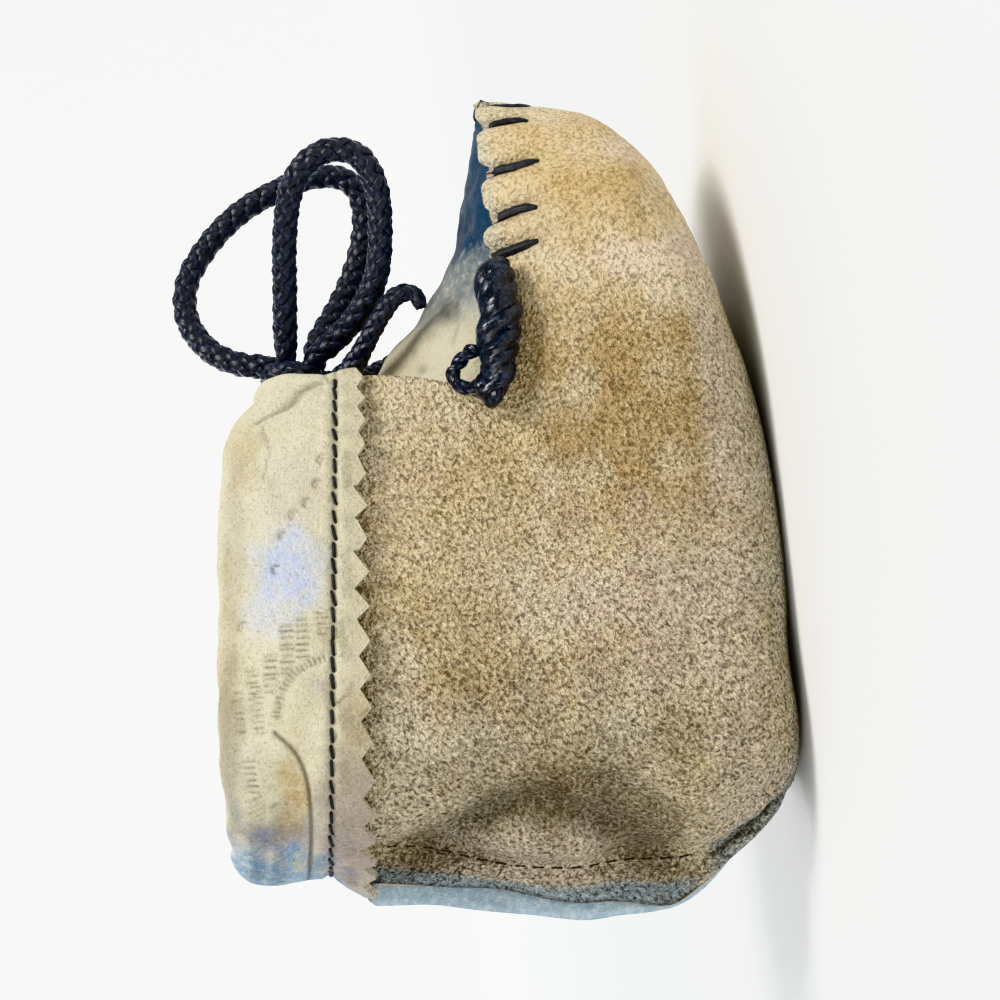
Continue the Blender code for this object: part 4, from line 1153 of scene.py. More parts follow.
toolLeft = dict(
    shift=0.0,
    cuts=[([(1.8, 4.2), (4.0, 5.1), (6.6, 5.5), (10.0, 5.0)], 0.24, 0.34, 0.55),
          ([(1.8, 9.2), (3.6, 10.3), (6.0, 11.0), (8.4, 10.9), (11.3, 9.2), (12.6, 7.0)], 0.26, 0.38, 0.60),
          ([(11.3, 1.8), (13.4, 2.8), (15.4, 3.3), (18.5, 3.2), (21.4, 2.6), (25.0, 0.8)], 0.26, 0.38, 0.60),
          ([(43.4, 0.9), (45.4, 2.2), (47.0, 4.0), (48.3, 7.2), (47.9, 11.0), (46.0, 13.8), (43.0, 15.4),
            (38.5, 16.0)], 0.30, 0.50, 0.85),
          ([(19.4, 11.2), (18.2, 13.0), (16.4, 15.8)], 0.24, 0.26, 0.55),
          ([(14.0, -3.0), (18.0, -2.2), (23.0, -3.4)], 0.22, 0.16, 0.30),
          ([(70.0, 0.4), (70.0, 12.0)], 0.30, 0.36, 0.50)],
    bevels=[([(44.6, 0.6), (48.2, 3.4), (49.6, 7.4), (49.0, 11.6), (46.4, 14.8)], 1.2, 0.20)],
    crescents=[(28.2, 11.4), (30.4, 12.6), (33.0, 13.2)],
    combs=[],
    hatches=[([(1.0, 8.2), (9.6, 8.4)], 2.6, 0.68, 0.15), ([(31.0, 3.0), (34.6, 2.4)], 2.4, 0.62, 0.7),
             ([(54.6, 2.6), (57.5, 5.4), (57.0, 9.0), (55.0, 12.0)], 3.6, 0.74, 0.5),
             ([(16.0, 1.6), (13.2, 4.6), (15.2, 6.4)], 1.8, 0.62, 0.2),
             ([(29.0, -2.4), (33.0, -3.0)], 1.6, 0.60, 0.6), ([(50.0, -2.0), (54.0, -2.8)], 1.6, 0.60, 0.6)],
    raised=[(38.8, 7.4, 8.6, 7.4, 0.24)],
    seeds=[(18.2, 29.2, 3.4, 10.6, 0.98)],
    rosette=(38.8, 7.4),
    gold=[(14.4, 4.4, 3.4, 2.2, 0.95), (11.8, 11.8, 3.0, 2.2, 0.55), (5.0, 8.0, 4.6, 1.6, 0.60),
          (50.4, 9.6, 2.6, 5.0, 0.75), (38.8, 12.4, 3.2, 1.6, 0.70), (57.0, 6.0, 4.2, 6.0, 0.70)],
    paintedLightAndShade=[(64.0, 5.0, 4.6, 8.0, 0.50), (34.0, 14.5, 9.0, 2.4, 0.50), (45.0, 3.0, 2.6, 3.0, 0.35)],
    pink=[(62.0, 5.0, 3.6, 8.0, 0.55), (66.0, -2.4, 14.0, 5.0, 0.6)],
    blueShade=[(82.0, 8.0, 16.0, 10.0, 1.1), (28.0, 14.0, 8.0, 2.0, 0.35)],
    shade=[(62.0, 8.0, 2.4, 5.0, 0.25)])


# height and shading pressed into the leather; f runs along the cuff, v up from the stitch line
class Relief:
    def __init__(self, f, v):
        self.f = f
        self.v = v
        self.high = np.zeros(f.shape)
        self.dark = np.zeros(f.shape)

    def pressAndShade(self, points, wide, deep, dark):
        points = np.asarray(points, dtype=float)
        reach = 4 * wide
        low, top = points.min(0) - reach - 0.2, points.max(0) + reach + 0.2
        near = (self.f > low[0]) & (self.f < top[0]) & (self.v > low[1]) & (self.v < top[1])
        if not near.any():
            return
        far, _ = nearLine(self.f[near], self.v[near], points)
        dent = hump(far, 0, wide)
        kept = np.maximum(self.high[near], 0) * (1 - dent)
        self.high[near] = np.minimum(self.high[near], -deep * dent + kept)
        self.dark[near] = np.maximum(self.dark[near], dark * dent)

    def dashes(self, route, long, pitch, lean=0.0, wide=0.19, deep=0.34, dark=0.60):
        route = smoothLine(route, pitch)
        way = np.gradient(route, axis=0)
        way /= np.linalg.norm(way, axis=1, keepdims=True)
        for p, (dx, dy) in zip(route, way):
            across = np.array([-dy + lean * dx, dx + lean * dy])
            across /= np.linalg.norm(across)
            half = across * long / 2 * random.uniform(0.8, 1.1)
            middle = p + rng.normal(0, 0.05, 2)
            self.pressAndShade([middle - half, middle + half], wide, deep * random.uniform(0.7, 1.15),
                       dark * random.uniform(0.6, 1.1))

    def bead(self, f, v, size, high, ring=0.5):
        far = np.hypot(self.f - f, self.v - v)
        dome = high * np.sqrt(np.maximum(1 - (far / size) ** 2, 0))
        self.high = np.where(far < size, np.maximum(self.high, dome), self.high)
        edge = hump(far, size, 0.20)
        moat = np.minimum(self.high, self.high * (1 - edge) - 0.22 * edge)
        self.high = np.where(far < size * 1.8, moat, self.high)
        self.dark = np.maximum(self.dark, ring * edge)


def ovalField(f, v, patches):
    total = np.zeros(f.shape)
    for a, b, da, db, strength in patches:
        wobble = 0.10 * np.sin(0.9 * f + 0.7 * v + a) + 0.10 * np.sin(0.5 * f - 1.1 * v + b)
        far = ovalFar(f, v, a, b, da, db) + wobble
        total = np.maximum(total, strength * np.exp(-(far * 0.95) ** 4))
    return total


def onCircle(a, b, radius, turn):
    return (a + radius * math.cos(turn), b + radius * math.sin(turn))


def tooled(tool, f, v):
    made = Relief(f, v)
    for a, b, da, db, high in tool["raised"]:
        inside = smoothstep((1.25 - ovalFar(f, v, a, b, da, db)) / 0.25)
        made.high = made.high + high * inside
    for f0, f1, v0, v1, pitch in tool["seeds"]:
        for i, a in enumerate(np.arange(f0, f1, pitch)):
            for b in np.arange(v0 + (i % 2) * 0.4, v1, 0.80):
                a2, b2 = a + random.gauss(0, 0.07), b + random.gauss(0, 0.06)
                made.pressAndShade([(a2, b2 - 0.20), (a2 + 0.1, b2 + 0.20)], 0.24, 0.30, random.uniform(0.4, 0.7))
    for line, wide, deep in tool["bevels"]:
        made.pressAndShade(smoothLine(line, 0.8), wide, deep, 0.0)
    for route, long, pitch in tool["combs"]:
        made.dashes(route, long, pitch)
    for route, long, pitch, lean in tool["hatches"]:
        made.dashes(route, long, pitch, lean, wide=0.20, deep=0.24, dark=0.50)
    for a, b in tool["crescents"]:
        made.pressAndShade([onCircle(a, b, 0.62, t) for t in np.linspace(0.4, 3.6, 9)], 0.19, 0.32, 0.50)
        made.pressAndShade([(a - 0.2, b), (a + 0.4, b + 0.2)], 0.17, 0.24, 0.4)
    if "rosette" in tool:
        a, b = tool["rosette"]
        rays, beads = 34, 10
        for k in range(rays):
            t = 2 * math.pi * k / rays
            tipAt = 5.0 + 0.5 * math.sin(3 * t) + random.uniform(-0.2, 0.3)
            made.pressAndShade([onCircle(a, b, 3.75, t), onCircle(a, b, tipAt, t)], 0.19, 0.28, 0.70)
        for k in range(beads):
            made.bead(*onCircle(a, b, 2.85, 2 * math.pi * (k + 0.5) / beads), 0.68, 0.26)
        made.bead(a, b, 1.75, 0.30, 0.7)
    for line, wide, deep, dark in tool["cuts"]:
        made.pressAndShade(smoothLine(line, 0.7), wide, deep, dark)
    return made


# places round one side, front to heel: distance from the front, share, and the pinked edge's own depth
def cuffColumns():
    shares = np.linspace(1, 0, 1500)
    line = skin(stitchHeight(shares), shares, cuffLook["face"])
    gone = walkedTo(line) / mm
    total = gone[-1]
    at, f = [0.0], 0.0
    while f < total - 2.0:
        wide = cuffLook["tooth"] + cuffLook["backTooth"] * float(smoothstep((f - 6) / 16))
        wide -= cuffLook["heelTooth"] * float(smoothstep((f - 58) / 14))
        f += wide * random.uniform(0.84, 1.18)
        at.append(f)
    at = np.array(at) * total / at[-1]
    fs, tooth, number = [], [], []
    for k, (a, b) in enumerate(zip(at[:-1], at[1:])):
        steps = 2 * max(4, int(round((b - a) / cuffLook["cell"] / 2)))
        t = np.arange(steps) / steps
        fs.append(a + (b - a) * t)
        tooth.append(np.minimum(t / 0.56, (1 - t) / 0.44))
        number.append(np.full(steps, k))
    fs = np.concatenate(fs + [[total]])
    tooth = np.concatenate(tooth + [[0.0]])
    number = np.concatenate(number + [[k]])
    return fs, np.interp(fs, gone, shares), tooth, number, total


# weights that read a smooth curve through count control points at places counted in controls
def catmullWeights(count, knots):
    out = np.zeros((len(knots), count))
    for r, knot in enumerate(knots):
        i = min(int(knot), count - 2)
        t = knot - i
        four = [-t + 2 * t * t - t ** 3, 2 - 5 * t * t + 3 * t ** 3,
                t + 4 * t * t - 3 * t ** 3, -t * t + t ** 3]
        for k, w in zip((i - 1, i, i + 1, i + 2), four):
            out[r, min(max(k, 0), count - 1)] += 0.5 * w
    return out


def makeCuffSide(side, tool):
    f, share, tooth, number, total = cuffColumns()
    stitch, top = stitchHeight(share), hermite(*np.array(cuffTops).T, collarAlong(share))
    flap = cuffLook["flapFront"] + (cuffLook["flapBack"] - cuffLook["flapFront"]) * smoothstep(f / total)
    jitter = rng.uniform(0.70, 1.25, number.max() + 1)[number]
    small = 0.55 + 0.45 * smoothstep((f - 8) / 14)
    edge = flap - cuffLook["toothDeep"] * small * jitter * (1 - tooth) + 0.4 * (jitter - 1)
    # control points from the pinked edge up over the fold and down inside
    outs = [cuffLook["face"]] * 3 + [o for o, _ in cuffFold] + [cuffLook["inside"]] * 2
    outs = [np.full(len(f), o) for o in outs]
    heights = [stitch - edge, stitch - edge * 0.5, stitch]
    heights += [stitch + (top - stitch) * s for _, s in cuffFold] + [stitch, stitch - cuffLook["hem"]]
    outs, heights = np.array(outs), np.array(heights)
    # the flap spreads over the heel seam
    over = hump(f, total, 5.5)
    outs[0] += cuffLook["spread"] * over
    outs[1] += cuffLook["spread"] / 2 * over
    # the mouth of the casing is turned in
    turned = hump(f, 0, 1.7) * (np.arange(len(outs))[:, None] > 2)
    outs = outs + (cuffLook["mouth"] - outs) * 0.42 * turned
    knots = np.concatenate([np.linspace(0, 2, cuffRows[0]), np.linspace(2, 7, cuffRows[1])[1:],
                            np.linspace(7, 13, cuffRows[2])[1:]])
    weights = catmullWeights(len(outs), knots)
    out, height = weights @ outs, weights @ heights
    shares = np.broadcast_to(share, out.shape)
    points = skin(height, shares, out, side)
    far = np.broadcast_to(f, out.shape)
    lengths = np.linalg.norm(np.diff(points, axis=0), axis=2) / mm
    gone = np.concatenate([np.zeros((1, len(f))), np.cumsum(lengths, axis=0)])
    v = gone - gone[cuffRows[0] - 1][None]      # height above the stitch line, along the leather
    drawnAt = far - tool["shift"] * smoothstep((far - 2.0) / 6.0)
    made = tooled(tool, drawnAt, v)
    outside = (np.arange(len(knots)) < cuffRows[0] + cuffRows[1] + 2)[:, None]
    flapZone = smoothstep(-v / 3.0)
    lift = rng.uniform(0.1, 1.0, number.max() + 1)[number]
    curl = lift * (0.35 + 0.65 * tooth) * cuffLook["curl"] * flapZone ** 1.5
    groove = -cuffLook["groove"] * hump(v, 0, 0.75) * outside
    fold = cuffLook["frontFold"] * hump(far, 1.6, 1.0) - cuffLook["frontCrease"] * hump(far, 3.3, 0.5)
    fold = fold * outside
    puff = cuffLook["puff"] * np.sin(far * 2.9) * hump(np.abs(v), 0.9, 0.8) * outside
    soft = softNoise(points, 15.0, 11 + side) * cuffLook["uneven"]
    soft = soft + softNoise(points, 6.0, 17 + side) * cuffLook["fineUneven"]
    heel = 1 - 0.6 * smoothstep((f - total + 8) / 8)
    move = made.high * outside + curl + groove + puff + fold * smoothstep(v / 2.0)
    move = move + soft * smoothstep((v + 2.5) / 4.0) * heel
    # lilac is a painted highlight; blue below is painted shade where the cuff rounds the heel
    fields = {key: ovalField(drawnAt, v, tool[key]) * outside for key in ("gold", "paintedLightAndShade", "pink")}
    fields["blueShade"] = np.minimum(ovalField(drawnAt, v, tool["blueShade"]), 1.0)
    khakiAmount = cuffLook["khaki"] + cuffLook["khakiHeel"] * smoothstep((far - 38) / 22)
    fields["khaki"] = smoothstep((-v - 0.2) / 1.2) * (khakiAmount + 0.3 * tooth * flapZone) * outside
    most = cuffLook["pressDark"]
    pressAndShade = np.clip(made.dark * most, 0, most) * outside
    pressAndShade = np.maximum(pressAndShade, cuffLook["seamDark"] * hump(v, 0, 0.45) * outside)
    # the flap is darker where each tooth begins
    toothRoots = hump(v, -flap * 0.45, 1.1) * (1 - tooth) * outside
    pressAndShade = np.maximum(pressAndShade, cuffLook["toothDark"] * toothRoots)
    # the shade ovals are painted shade, laid in with the tool marks
    fields["pressAndShade"] = np.maximum(pressAndShade, ovalField(drawnAt, v, tool["shade"]) * outside)
    return points, move, fields


# a thick piece from its outer grid: a fine face, crisp cut edges, and a plainer back behind it
def shell(name, points, normals, thick, fields, fullRows, coarse=3):
    rows, columns = points.shape[:2]
    back = points - normals * thick * mm
    count = rows * columns
    grid = gridFaces(rows, columns)
    parts = [(grid, 0)]
    flap = gridFaces(fullRows + 1, columns)[:, ::-1] + count
    parts.append((flap, 1))
    i = np.unique(np.r_[np.arange(fullRows, rows, coarse), rows - 1])
    j = np.unique(np.r_[np.arange(0, columns, coarse), columns - 1])
    index = (i[:, None] * columns + j[None]).ravel()
    parts.append((index[gridFaces(len(i), len(j))][:, ::-1] + count, 1))
    corners = [points.reshape(-1, 3), back.reshape(-1, 3)]
    taken = 2 * count
    edges = [np.arange(columns), (rows - 1) * columns + np.arange(columns)[::-1],
             np.arange(rows)[::-1] * columns, np.arange(rows) * columns + columns - 1]
    picks = [np.arange(count), np.arange(count)]
    for edge in edges:
        corners += [corners[0][edge], corners[1][edge]]
        picks += [edge, edge]
        n = len(edge)
        k = np.arange(n - 1)
        parts.append((np.stack([k + n, k + n + 1, k + 1, k], axis=1) + taken, 2))
        taken += 2 * n
    faces = np.vstack([p for p, _ in parts])
    kinds = np.concatenate([np.full(len(p), kind) for p, kind in parts])
    used, faces = np.unique(faces, return_inverse=True)
    faces = faces.reshape(-1, 4)
    picks = np.concatenate(picks)[used]
    mesh = meshFrom(name, np.vstack(corners)[used], faces)
    mesh.polygons.foreach_set("material_index", kinds.astype(np.int32))
    for key, values in fields.items():
        addPoints(mesh, key, np.broadcast_to(values, (rows, columns)).ravel()[picks])
    return mesh


# one array from the front of the left side, round the heel, to the front of the right side
def roundHeel(left, right):
    return np.concatenate([left, right[:, -2::-1]], axis=1)


def makeCuff():
    right, rightMove, rightFields = makeCuffSide(-1, toolRight)
    left, leftMove, leftFields = makeCuffSide(1, toolLeft)
    points = roundHeel(left, right)
    normals = gridNormals(points)
    points = points + normals * (roundHeel(leftMove, rightMove) * mm)[..., None]
    fields = {key: roundHeel(leftFields[key], rightFields[key]) for key in rightFields}
    mesh = shell("tooled_cuff", points, normals, cuffLook["thick"], fields, cuffRows[0] - 1)
    addPiece("tooled_cuff", mesh, [leather, leather, leatherEdge], ["cuff"])
    stageLine("cuff %d faces" % len(mesh.polygons))
    return points


cuffPoints = makeCuff()


# apron over the toes and tongue, one piece of leather

# blue is a painted teal shade in the recess round the toe; grey is a painted shade on the flanks
apronLook = dict(
    thick=1.4, inset=2.25, below=0.5, lead=11.6, closing=1.3, tip=0.985, diveBack=1.5, diveCrown=2.4,
    diveEdge=3.4, specks=0.3, blueShade=tone(2, 54, 84), grey=tone(122, 132, 134), seamRows=22, rows=150,
    columns=61, uneven=0.45, fineUneven=0.10, pull=0.55, pullDark=0.5, pressedEdge=0.25, toeBlueShade=2.2,
    goldFold=0.35)
# crown of the apron: along, height
apronCrown = [(83.3, 46.9), (89.0, 41.7), (92.9, 39.0), (98.0, 36.6), (103.5, 34.9), (109.0, 33.0),
              (112.8, 31.7)]
# crown at, crown height, edge at, edge half, edge height
tongueRows = [(78.3, 50.8, 67.0, 14.9, 41.5), (73.0, 56.0, 63.0, 13.8, 48.0), (69.2, 60.8, 60.4, 12.3, 54.0),
              (66.6, 65.6, 59.6, 10.2, 60.0)]
# worn lines and folds: route of (along, across), half width, depth, shading
apronLines = [
    ([(80.6, -6.0), (78.8, -8.6), (76.6, -9.8)], 0.28, 0.30, 0.55),
    ([(86, -10), (83, -11.5), (80, -12)], 0.3, 0.2, 0.3),
    ([(74.0, -3.0), (77.5, 0.0), (76.0, 5.0), (72.0, 8.0)], 0.30, 0.25, 0.40),
    ([(90, 9), (87, 11), (83, 12)], 0.3, 0.2, 0.3),
    ([(97.0, -9.0), (94.5, -3.0), (95.5, 4.0), (98.0, 9.0)], 1.6, 0.42, 0.10),
    ([(88.0, -11.0), (85.5, -4.0), (85.8, 3.0), (88.5, 10.0)], 1.9, 0.55, 0.12),
    ([(103.0, -7.0), (101.5, 0.0), (103.5, 6.0)], 1.5, 0.30, 0.05)]


def makeApron():
    crowns, edges = [], []
    seamRows = apronLook["seamRows"]
    for i in range(seamRows):
        share = 1 + apronLook["tip"] * (1 - i / (seamRows - 1))
        height = float(seamHeight(share))
        along, half = (float(v) for v in station(height, share))
        nx, ny = (float(v) for v in outward(height, share))
        edgeAt = along - nx * apronLook["inset"]
        edgeHalf = max(half - ny * apronLook["inset"], 0.6)
        crownAt = min(edgeAt + apronLook["lead"] * (2 - share) ** apronLook["closing"], apronCrown[-1][0])
        crownHeight = float(hermite(*np.array(apronCrown).T, crownAt))
        # the tip dives under the wrap's gathered edge
        dive = float(smoothstep((share - 1.86) / 0.12))
        back = apronLook["diveBack"] * dive
        edgeHeight = height - apronLook["below"] - apronLook["diveEdge"] * dive
        crowns.append((crownAt - back, crownHeight - apronLook["diveCrown"] * dive))
        edges.append((edgeAt - back, edgeHalf, edgeHeight))
    for crownAt, crownHeight, edgeAt, edgeHalf, edgeHeight in tongueRows:
        crowns.append((crownAt, crownHeight))
        edges.append((edgeAt, edgeHalf, edgeHeight))
    table = np.hstack([np.array(crowns), np.array(edges)])
    rows, columns = apronLook["rows"], apronLook["columns"]
    weights = catmullWeights(len(table), np.linspace(0, len(table) - 1, rows))
    table = weights @ table
    v = np.linspace(-1, 1, columns)[None]
    crownAt, crownHeight, edgeAt, edgeHalf, edgeHeight = (table[:, k:k + 1] for k in range(5))
    along = crownAt + (edgeAt - crownAt) * v ** 2
    across = edgeHalf * v
    height = crownHeight + (edgeHeight - crownHeight) * v ** 2
    points = place(along, across, height)
    normals = gridNormals(points)
    move = softNoise(points, 14.0, 23) * apronLook["uneven"]
    move = move + softNoise(points, 5.0, 29) * apronLook["fineUneven"]
    pressAndShade = np.zeros(along.shape)
    for line, wide, deep, dark in apronLines:
        far, _ = nearLine(along, across, smoothLine(line, 0.8))
        dent = hump(far, 0, wide)
        move -= deep * dent
        pressAndShade = np.maximum(pressAndShade, dark * dent)
    # the edge is drawn up at each whip stitch
    rim = hump((1 - np.abs(v)) * edgeHalf, 0, 2.2) * (np.linspace(0, 1, rows)[:, None] < 0.86)
    for s in whipShares:
        at, half = (float(w) for w in station(float(seamHeight(s)), s))
        for side in (-1, 1):
            far = np.hypot(along - at + 1.5, across - side * (half - 2.2))
            move += apronLook["pull"] * hump(far, 0, 1.5)
            pressAndShade = np.maximum(pressAndShade, apronLook["pullDark"] * hump(far, 0, 0.8))
    move -= apronLook["pressedEdge"] * rim
    # painted teal shade towards the toe and painted grey shade on the flanks
    flank = smoothstep((np.abs(v) * 1.15 + 0.02) / 0.6)
    blueShade = apronLook["toeBlueShade"] * smoothstep((along - 89) / 9) * (0.8 + 0.2 * flank)
    grey = smoothstep((along - 80) / 8) * (0.65 + 0.35 * flank)
    gold = apronLook["goldFold"] * np.exp(-(((along - 79) / 4) ** 2 + ((across + 6) / 3) ** 2))
    points = points + normals * (move * mm)[..., None]
    mesh = meshFrom("tooled_apron", points, gridFaces(rows, columns))
    for key, values in (("pressAndShade", pressAndShade), ("blueShade", blueShade), ("gold", gold), ("paintedLightAndShade", grey)):
        addPoints(mesh, key, np.broadcast_to(values, along.shape))
    tones = dict(leatherLook, blueShade=apronLook["blueShade"], paintedLightAndShade=apronLook["grey"])
    mottled = leatherFinish("apron_leather", tones, apronLook["specks"])
    thing = addPiece("tooled_apron", mesh, [mottled, suedeInside, leatherEdge], ["apron"])
    thicken(thing, apronLook["thick"])
    stageLine("apron")


makeApron()


# sock on the bottom inside

# section: heel at, toe at, heel half, ball half, ball at
sockLook = dict(
    section=(20.0, 97.0, 14.0, 17.0, 60.0), thick=1.2, lift=1.95, stain=0.25, grey=0.35, rows=40, half=12)


# height of the wrap's underside above the floor
def floorUnder(along, across):
    spots = np.arange(0, 116, 0.5)
    count = int(33 / levelStep)
    widths = np.array([np.interp(spots, t[0], t[1], left=0, right=0) for t in lastTable[:count]])
    out = np.zeros(along.shape)
    for index in np.ndindex(along.shape):
        column = np.array([np.interp(along[index], spots, row) for row in widths[::4]])
        out[index] = np.interp(max(abs(across[index]), 0.5), np.maximum.accumulate(column), levels[:count:4])
    return out


def makeSock():
    heelAt, toeAt, heelHalf, ballHalf, ballAt = sockLook["section"]
    rows, half = sockLook["rows"], sockLook["half"]
    turn = np.pi * np.linspace(0.96, 0.04, rows)
    along = (heelAt + toeAt) / 2 - (toeAt - heelAt) / 2 * np.cos(turn)
    centre = heelAt + heelHalf
    heelWidth = heelHalf * np.sqrt(np.maximum(1 - ((centre - along) / heelHalf) ** 2, 0))
    waistWidth = heelHalf + (ballHalf - heelHalf) * smoothstep((along - centre) / (ballAt - centre))
    width = np.where(along < centre, heelWidth, waistWidth)
    toe = np.clip((along - ballAt) / (toeAt - ballAt), 0, 1)
    width = np.where(along > ballAt, ballHalf * (1 - toe ** toeRoundness) ** (1 / toeRoundness), width)
    v = np.linspace(-1, 1, 2 * half + 1)
    across = width[:, None] * v[None]
    along = np.broadcast_to(along[:, None], across.shape)
    height = floorUnder(along, across) + sockLook["lift"] + sockLook["thick"]
    points = place(along, across, height)
    points[..., 2] += (softNoise(points, 12.0, 41) * 0.22 + 0.25) * mm
    mesh = meshFrom("sock_lining", points, gridFaces(rows, 2 * half + 1))
    for key in ("stain", "pale", "soilAndShade", "grey"):
        addPoints(mesh, key, np.full(along.shape, sockLook.get(key, 0.0)))
    thing = addPiece("sock_lining", mesh, [suede], ["insole"])
    thicken(thing, sockLook["thick"], lined=False)
    stageLine("sock")


makeSock()


# stitching

whipLook = dict(radius=0.66, hole=5.4, inboard=2.4, lean=0.28)


# point on the deformed wrap, below its edge at the apron seam, and standing out from it
def wrapSpot(share, below, side, lean=0.0, lift=0.0):
    wall = wrapLook["leafColumns"] + wrapLook["flareColumns"]
    column = np.interp(share, wrapShares[wall:wrapHalf], np.arange(wall, wrapHalf))
    if side > 0:
        column = 2 * (wrapHalf - 1) - column
    column = column + lean / wrapLook["toeColumnWide"]
    j = int(np.clip(round(column), 1, wrapPoints.shape[1] - 2))
    strip = wrapPoints[:wrapSeamRow + 1, j]
    down = (strip[-1, 2] - strip[:, 2]) / mm
    k = int(np.argmin(np.abs(down - below) + (np.arange(len(strip)) < 20) * 50))
    k = min(max(k, 1), wrapSeamRow - 1)
    du = wrapPoints[k, j + 1] - wrapPoints[k, j - 1]
    dv = wrapPoints[k + 1, j] - wrapPoints[k - 1, j]
    n = np.cross(du, dv)
    n /= np.linalg.norm(n)
    return strip[k] + n * lift * mm, n


def makeWhips():
    parts = []
    middle = place(88.0, 0.0, 33.0)
    for s in whipShares:
        for side in ((-1, 1) if s < 2 else (-1,)):
            lean = whipLook["lean"] * side
            hole, n = wrapSpot(s, whipLook["hole"], side, lean * 1.6)
            mid, n2 = wrapSpot(s, whipLook["hole"] * 0.5, side, lean * 0.8)
            edge, n3 = wrapSpot(s, 0.4, side, 0.0)
            inward = middle - edge
            inward[2] = 0
            inward /= np.linalg.norm(inward)
            up = np.array([0, 0, 1.0])
            route = [hole - n * 0.9 * mm, hole + n * 0.05 * mm, mid + n2 * 0.22 * mm,
                     edge + n3 * 0.25 * mm + up * 0.30 * mm, edge + inward * 1.0 * mm + up * 0.85 * mm,
                     edge + inward * 2.0 * mm + up * 0.45 * mm,
                     edge + inward * whipLook["inboard"] * mm - up * 0.35 * mm,
                     edge + inward * (whipLook["inboard"] + 0.3) * mm - up * 1.6 * mm]
            line = smoothRoute(np.array(route), 0.25 * mm)
            t = np.linspace(0, 1, len(line))
            wide = whipLook["radius"] * mm * (0.45 + 0.55 * smoothstep(t / 0.3)) * (1 + 0.06 * np.sin(t * 37))
            parts.append(tubeParts(line, wide * 1.15, wide * 0.8, sides=10))
    addTubes("whip_stitches", parts, [0, 1, 0, 1, 0], waxedBlack)
    stageLine("whips")


# short stitches laid on a route, their ends sinking into it
def dashAlong(line, normals, parts, long, pitch, radius, lift, skew, uneven):
    gone = walkedTo(line) / mm
    at = pitch * 0.5
    while at + long < gone[-1]:
        size = long * random.uniform(1 - 2 * uneven, 1 + uneven)
        spots = at + size * np.array([0, 0.12, 0.35, 0.65, 0.88, 1.0])
        p = np.stack([np.interp(spots, gone, line[:, k]) for k in range(3)], axis=1)
        n = np.stack([np.interp(spots, gone, normals[:, k]) for k in range(3)], axis=1)
        rise = np.array([-0.35, 0.10, lift, lift, 0.10, -0.35]) * mm
        aside = np.cross(n, p[-1] - p[0])
        aside /= np.maximum(np.linalg.norm(aside, axis=1, keepdims=True), 1e-9)
        lean = np.linspace(-1, 1, 6)[:, None] * skew * mm * random.uniform(0.2, 1.6)
        route = smoothRoute(p + n * rise[:, None] + aside * lean, 0.2 * mm)
        parts.append(tubeParts(route, radius * mm * random.uniform(0.9, 1.1), sides=8, ends=False))
        at += pitch * random.uniform(1 - 0.6 * uneven, 1 + 0.6 * uneven)


cuffThread = dict(long=2.0, pitch=2.3, radius=0.24, lift=0.15, skew=0.26, uneven=0.14)
heelThread = dict(long=1.5, pitch=2.6, radius=0.15, lift=-0.02, skew=0.05, uneven=0.06)
heelThreadAt = dict(column=7, low=15.5, high=58.5)


def makeCuffStitches():
    parts = []
    normals = gridNormals(cuffPoints)
    row = cuffRows[0] - 1
    dashAlong(cuffPoints[row], normals[row], parts, **cuffThread)
    addTubes("cuff_stitches", parts, [0, 1], stitchBlack)


def makeHeelStitches():
    parts = []
    normals = gridNormals(wrapPoints)
    first = heelThreadAt["column"]
    for column in (first, wrapPoints.shape[1] - 1 - first):
        height = wrapPoints[:, column, 2] / mm
        rows = (height > heelThreadAt["low"]) & (height < heelThreadAt["high"])
        rows = rows & (np.arange(len(height)) > wrapLook["bottomRows"])
        dashAlong(wrapPoints[rows, column], normals[rows, column], parts, **heelThread)
    addTubes("heel_stitches", parts, [0, 1], stitchBrown)
    stageLine("machine stitches")


# knotted thongs beside the throat: along, height, half width
thongRight = [(88.2, 32.6, 1.6), (86.8, 33.2, 2.6), (84.4, 33.2, 2.9), (81.8, 33.2, 2.8), (79.2, 33.8, 2.8),
              (76.4, 34.2, 2.5), (74.0, 34.9, 2.3), (72.0, 36.0, 1.9), (71.0, 36.8, 1.2)]
# the eye left standing above the last knot
thongEye = [(78.6, 34.2), (77.3, 36.2), (77.7, 38.1), (76.7, 40.2), (74.7, 41.5), (73.2, 40.7), (72.9, 38.8),
            (73.3, 36.8), (74.6, 35.4)]
thongLeft = [(88.8, 31.6, 0.9), (86.6, 31.4, 2.2), (84.0, 31.8, 1.1), (81.0, 32.6, 2.2), (77.6, 33.2, 1.1),
             (74.0, 34.4, 2.2), (71.4, 36.4, 1.1), (69.4, 39.0, 2.0), (68.0, 41.0, 0.9)]
# overhand knots: along, size, half thickness, turn
knotsRight = [(72.2, 1.75, 1.05, 0.4), (76.0, 1.6, 1.0, 2.2), (80.6, 2.1, 1.10, 1.5), (85.8, 2.1, 1.05, 0.9)]
knotsLeft = [(86.6, 1.55, 0.85, 0.4), (81.0, 1.55, 0.88, 1.2), (74.0, 1.60, 0.90, 2.0),
             (69.4, 1.45, 0.82, 0.8)]
thongs = [
    dict(name="thong_right", node="seam_lace_right", side=-1, route=thongRight, knots=knotsRight,
         strands=3, lay=7.6, girth=None),
    dict(name="thong_left", node="seam_lace_left", side=1, route=thongLeft, knots=knotsLeft,
         strands=2, lay=4.4, girth=1.0)]
thongStep = 0.3


def thongRoute(table, side):
    route = []
    for along, height, radius in table:
        out = (0.3 + radius) * 1.05
        route.append((along, side * (halfWidth(height, along) + out), height + 0.35 * out, radius))
    return smoothRoute(np.array(route), thongStep)


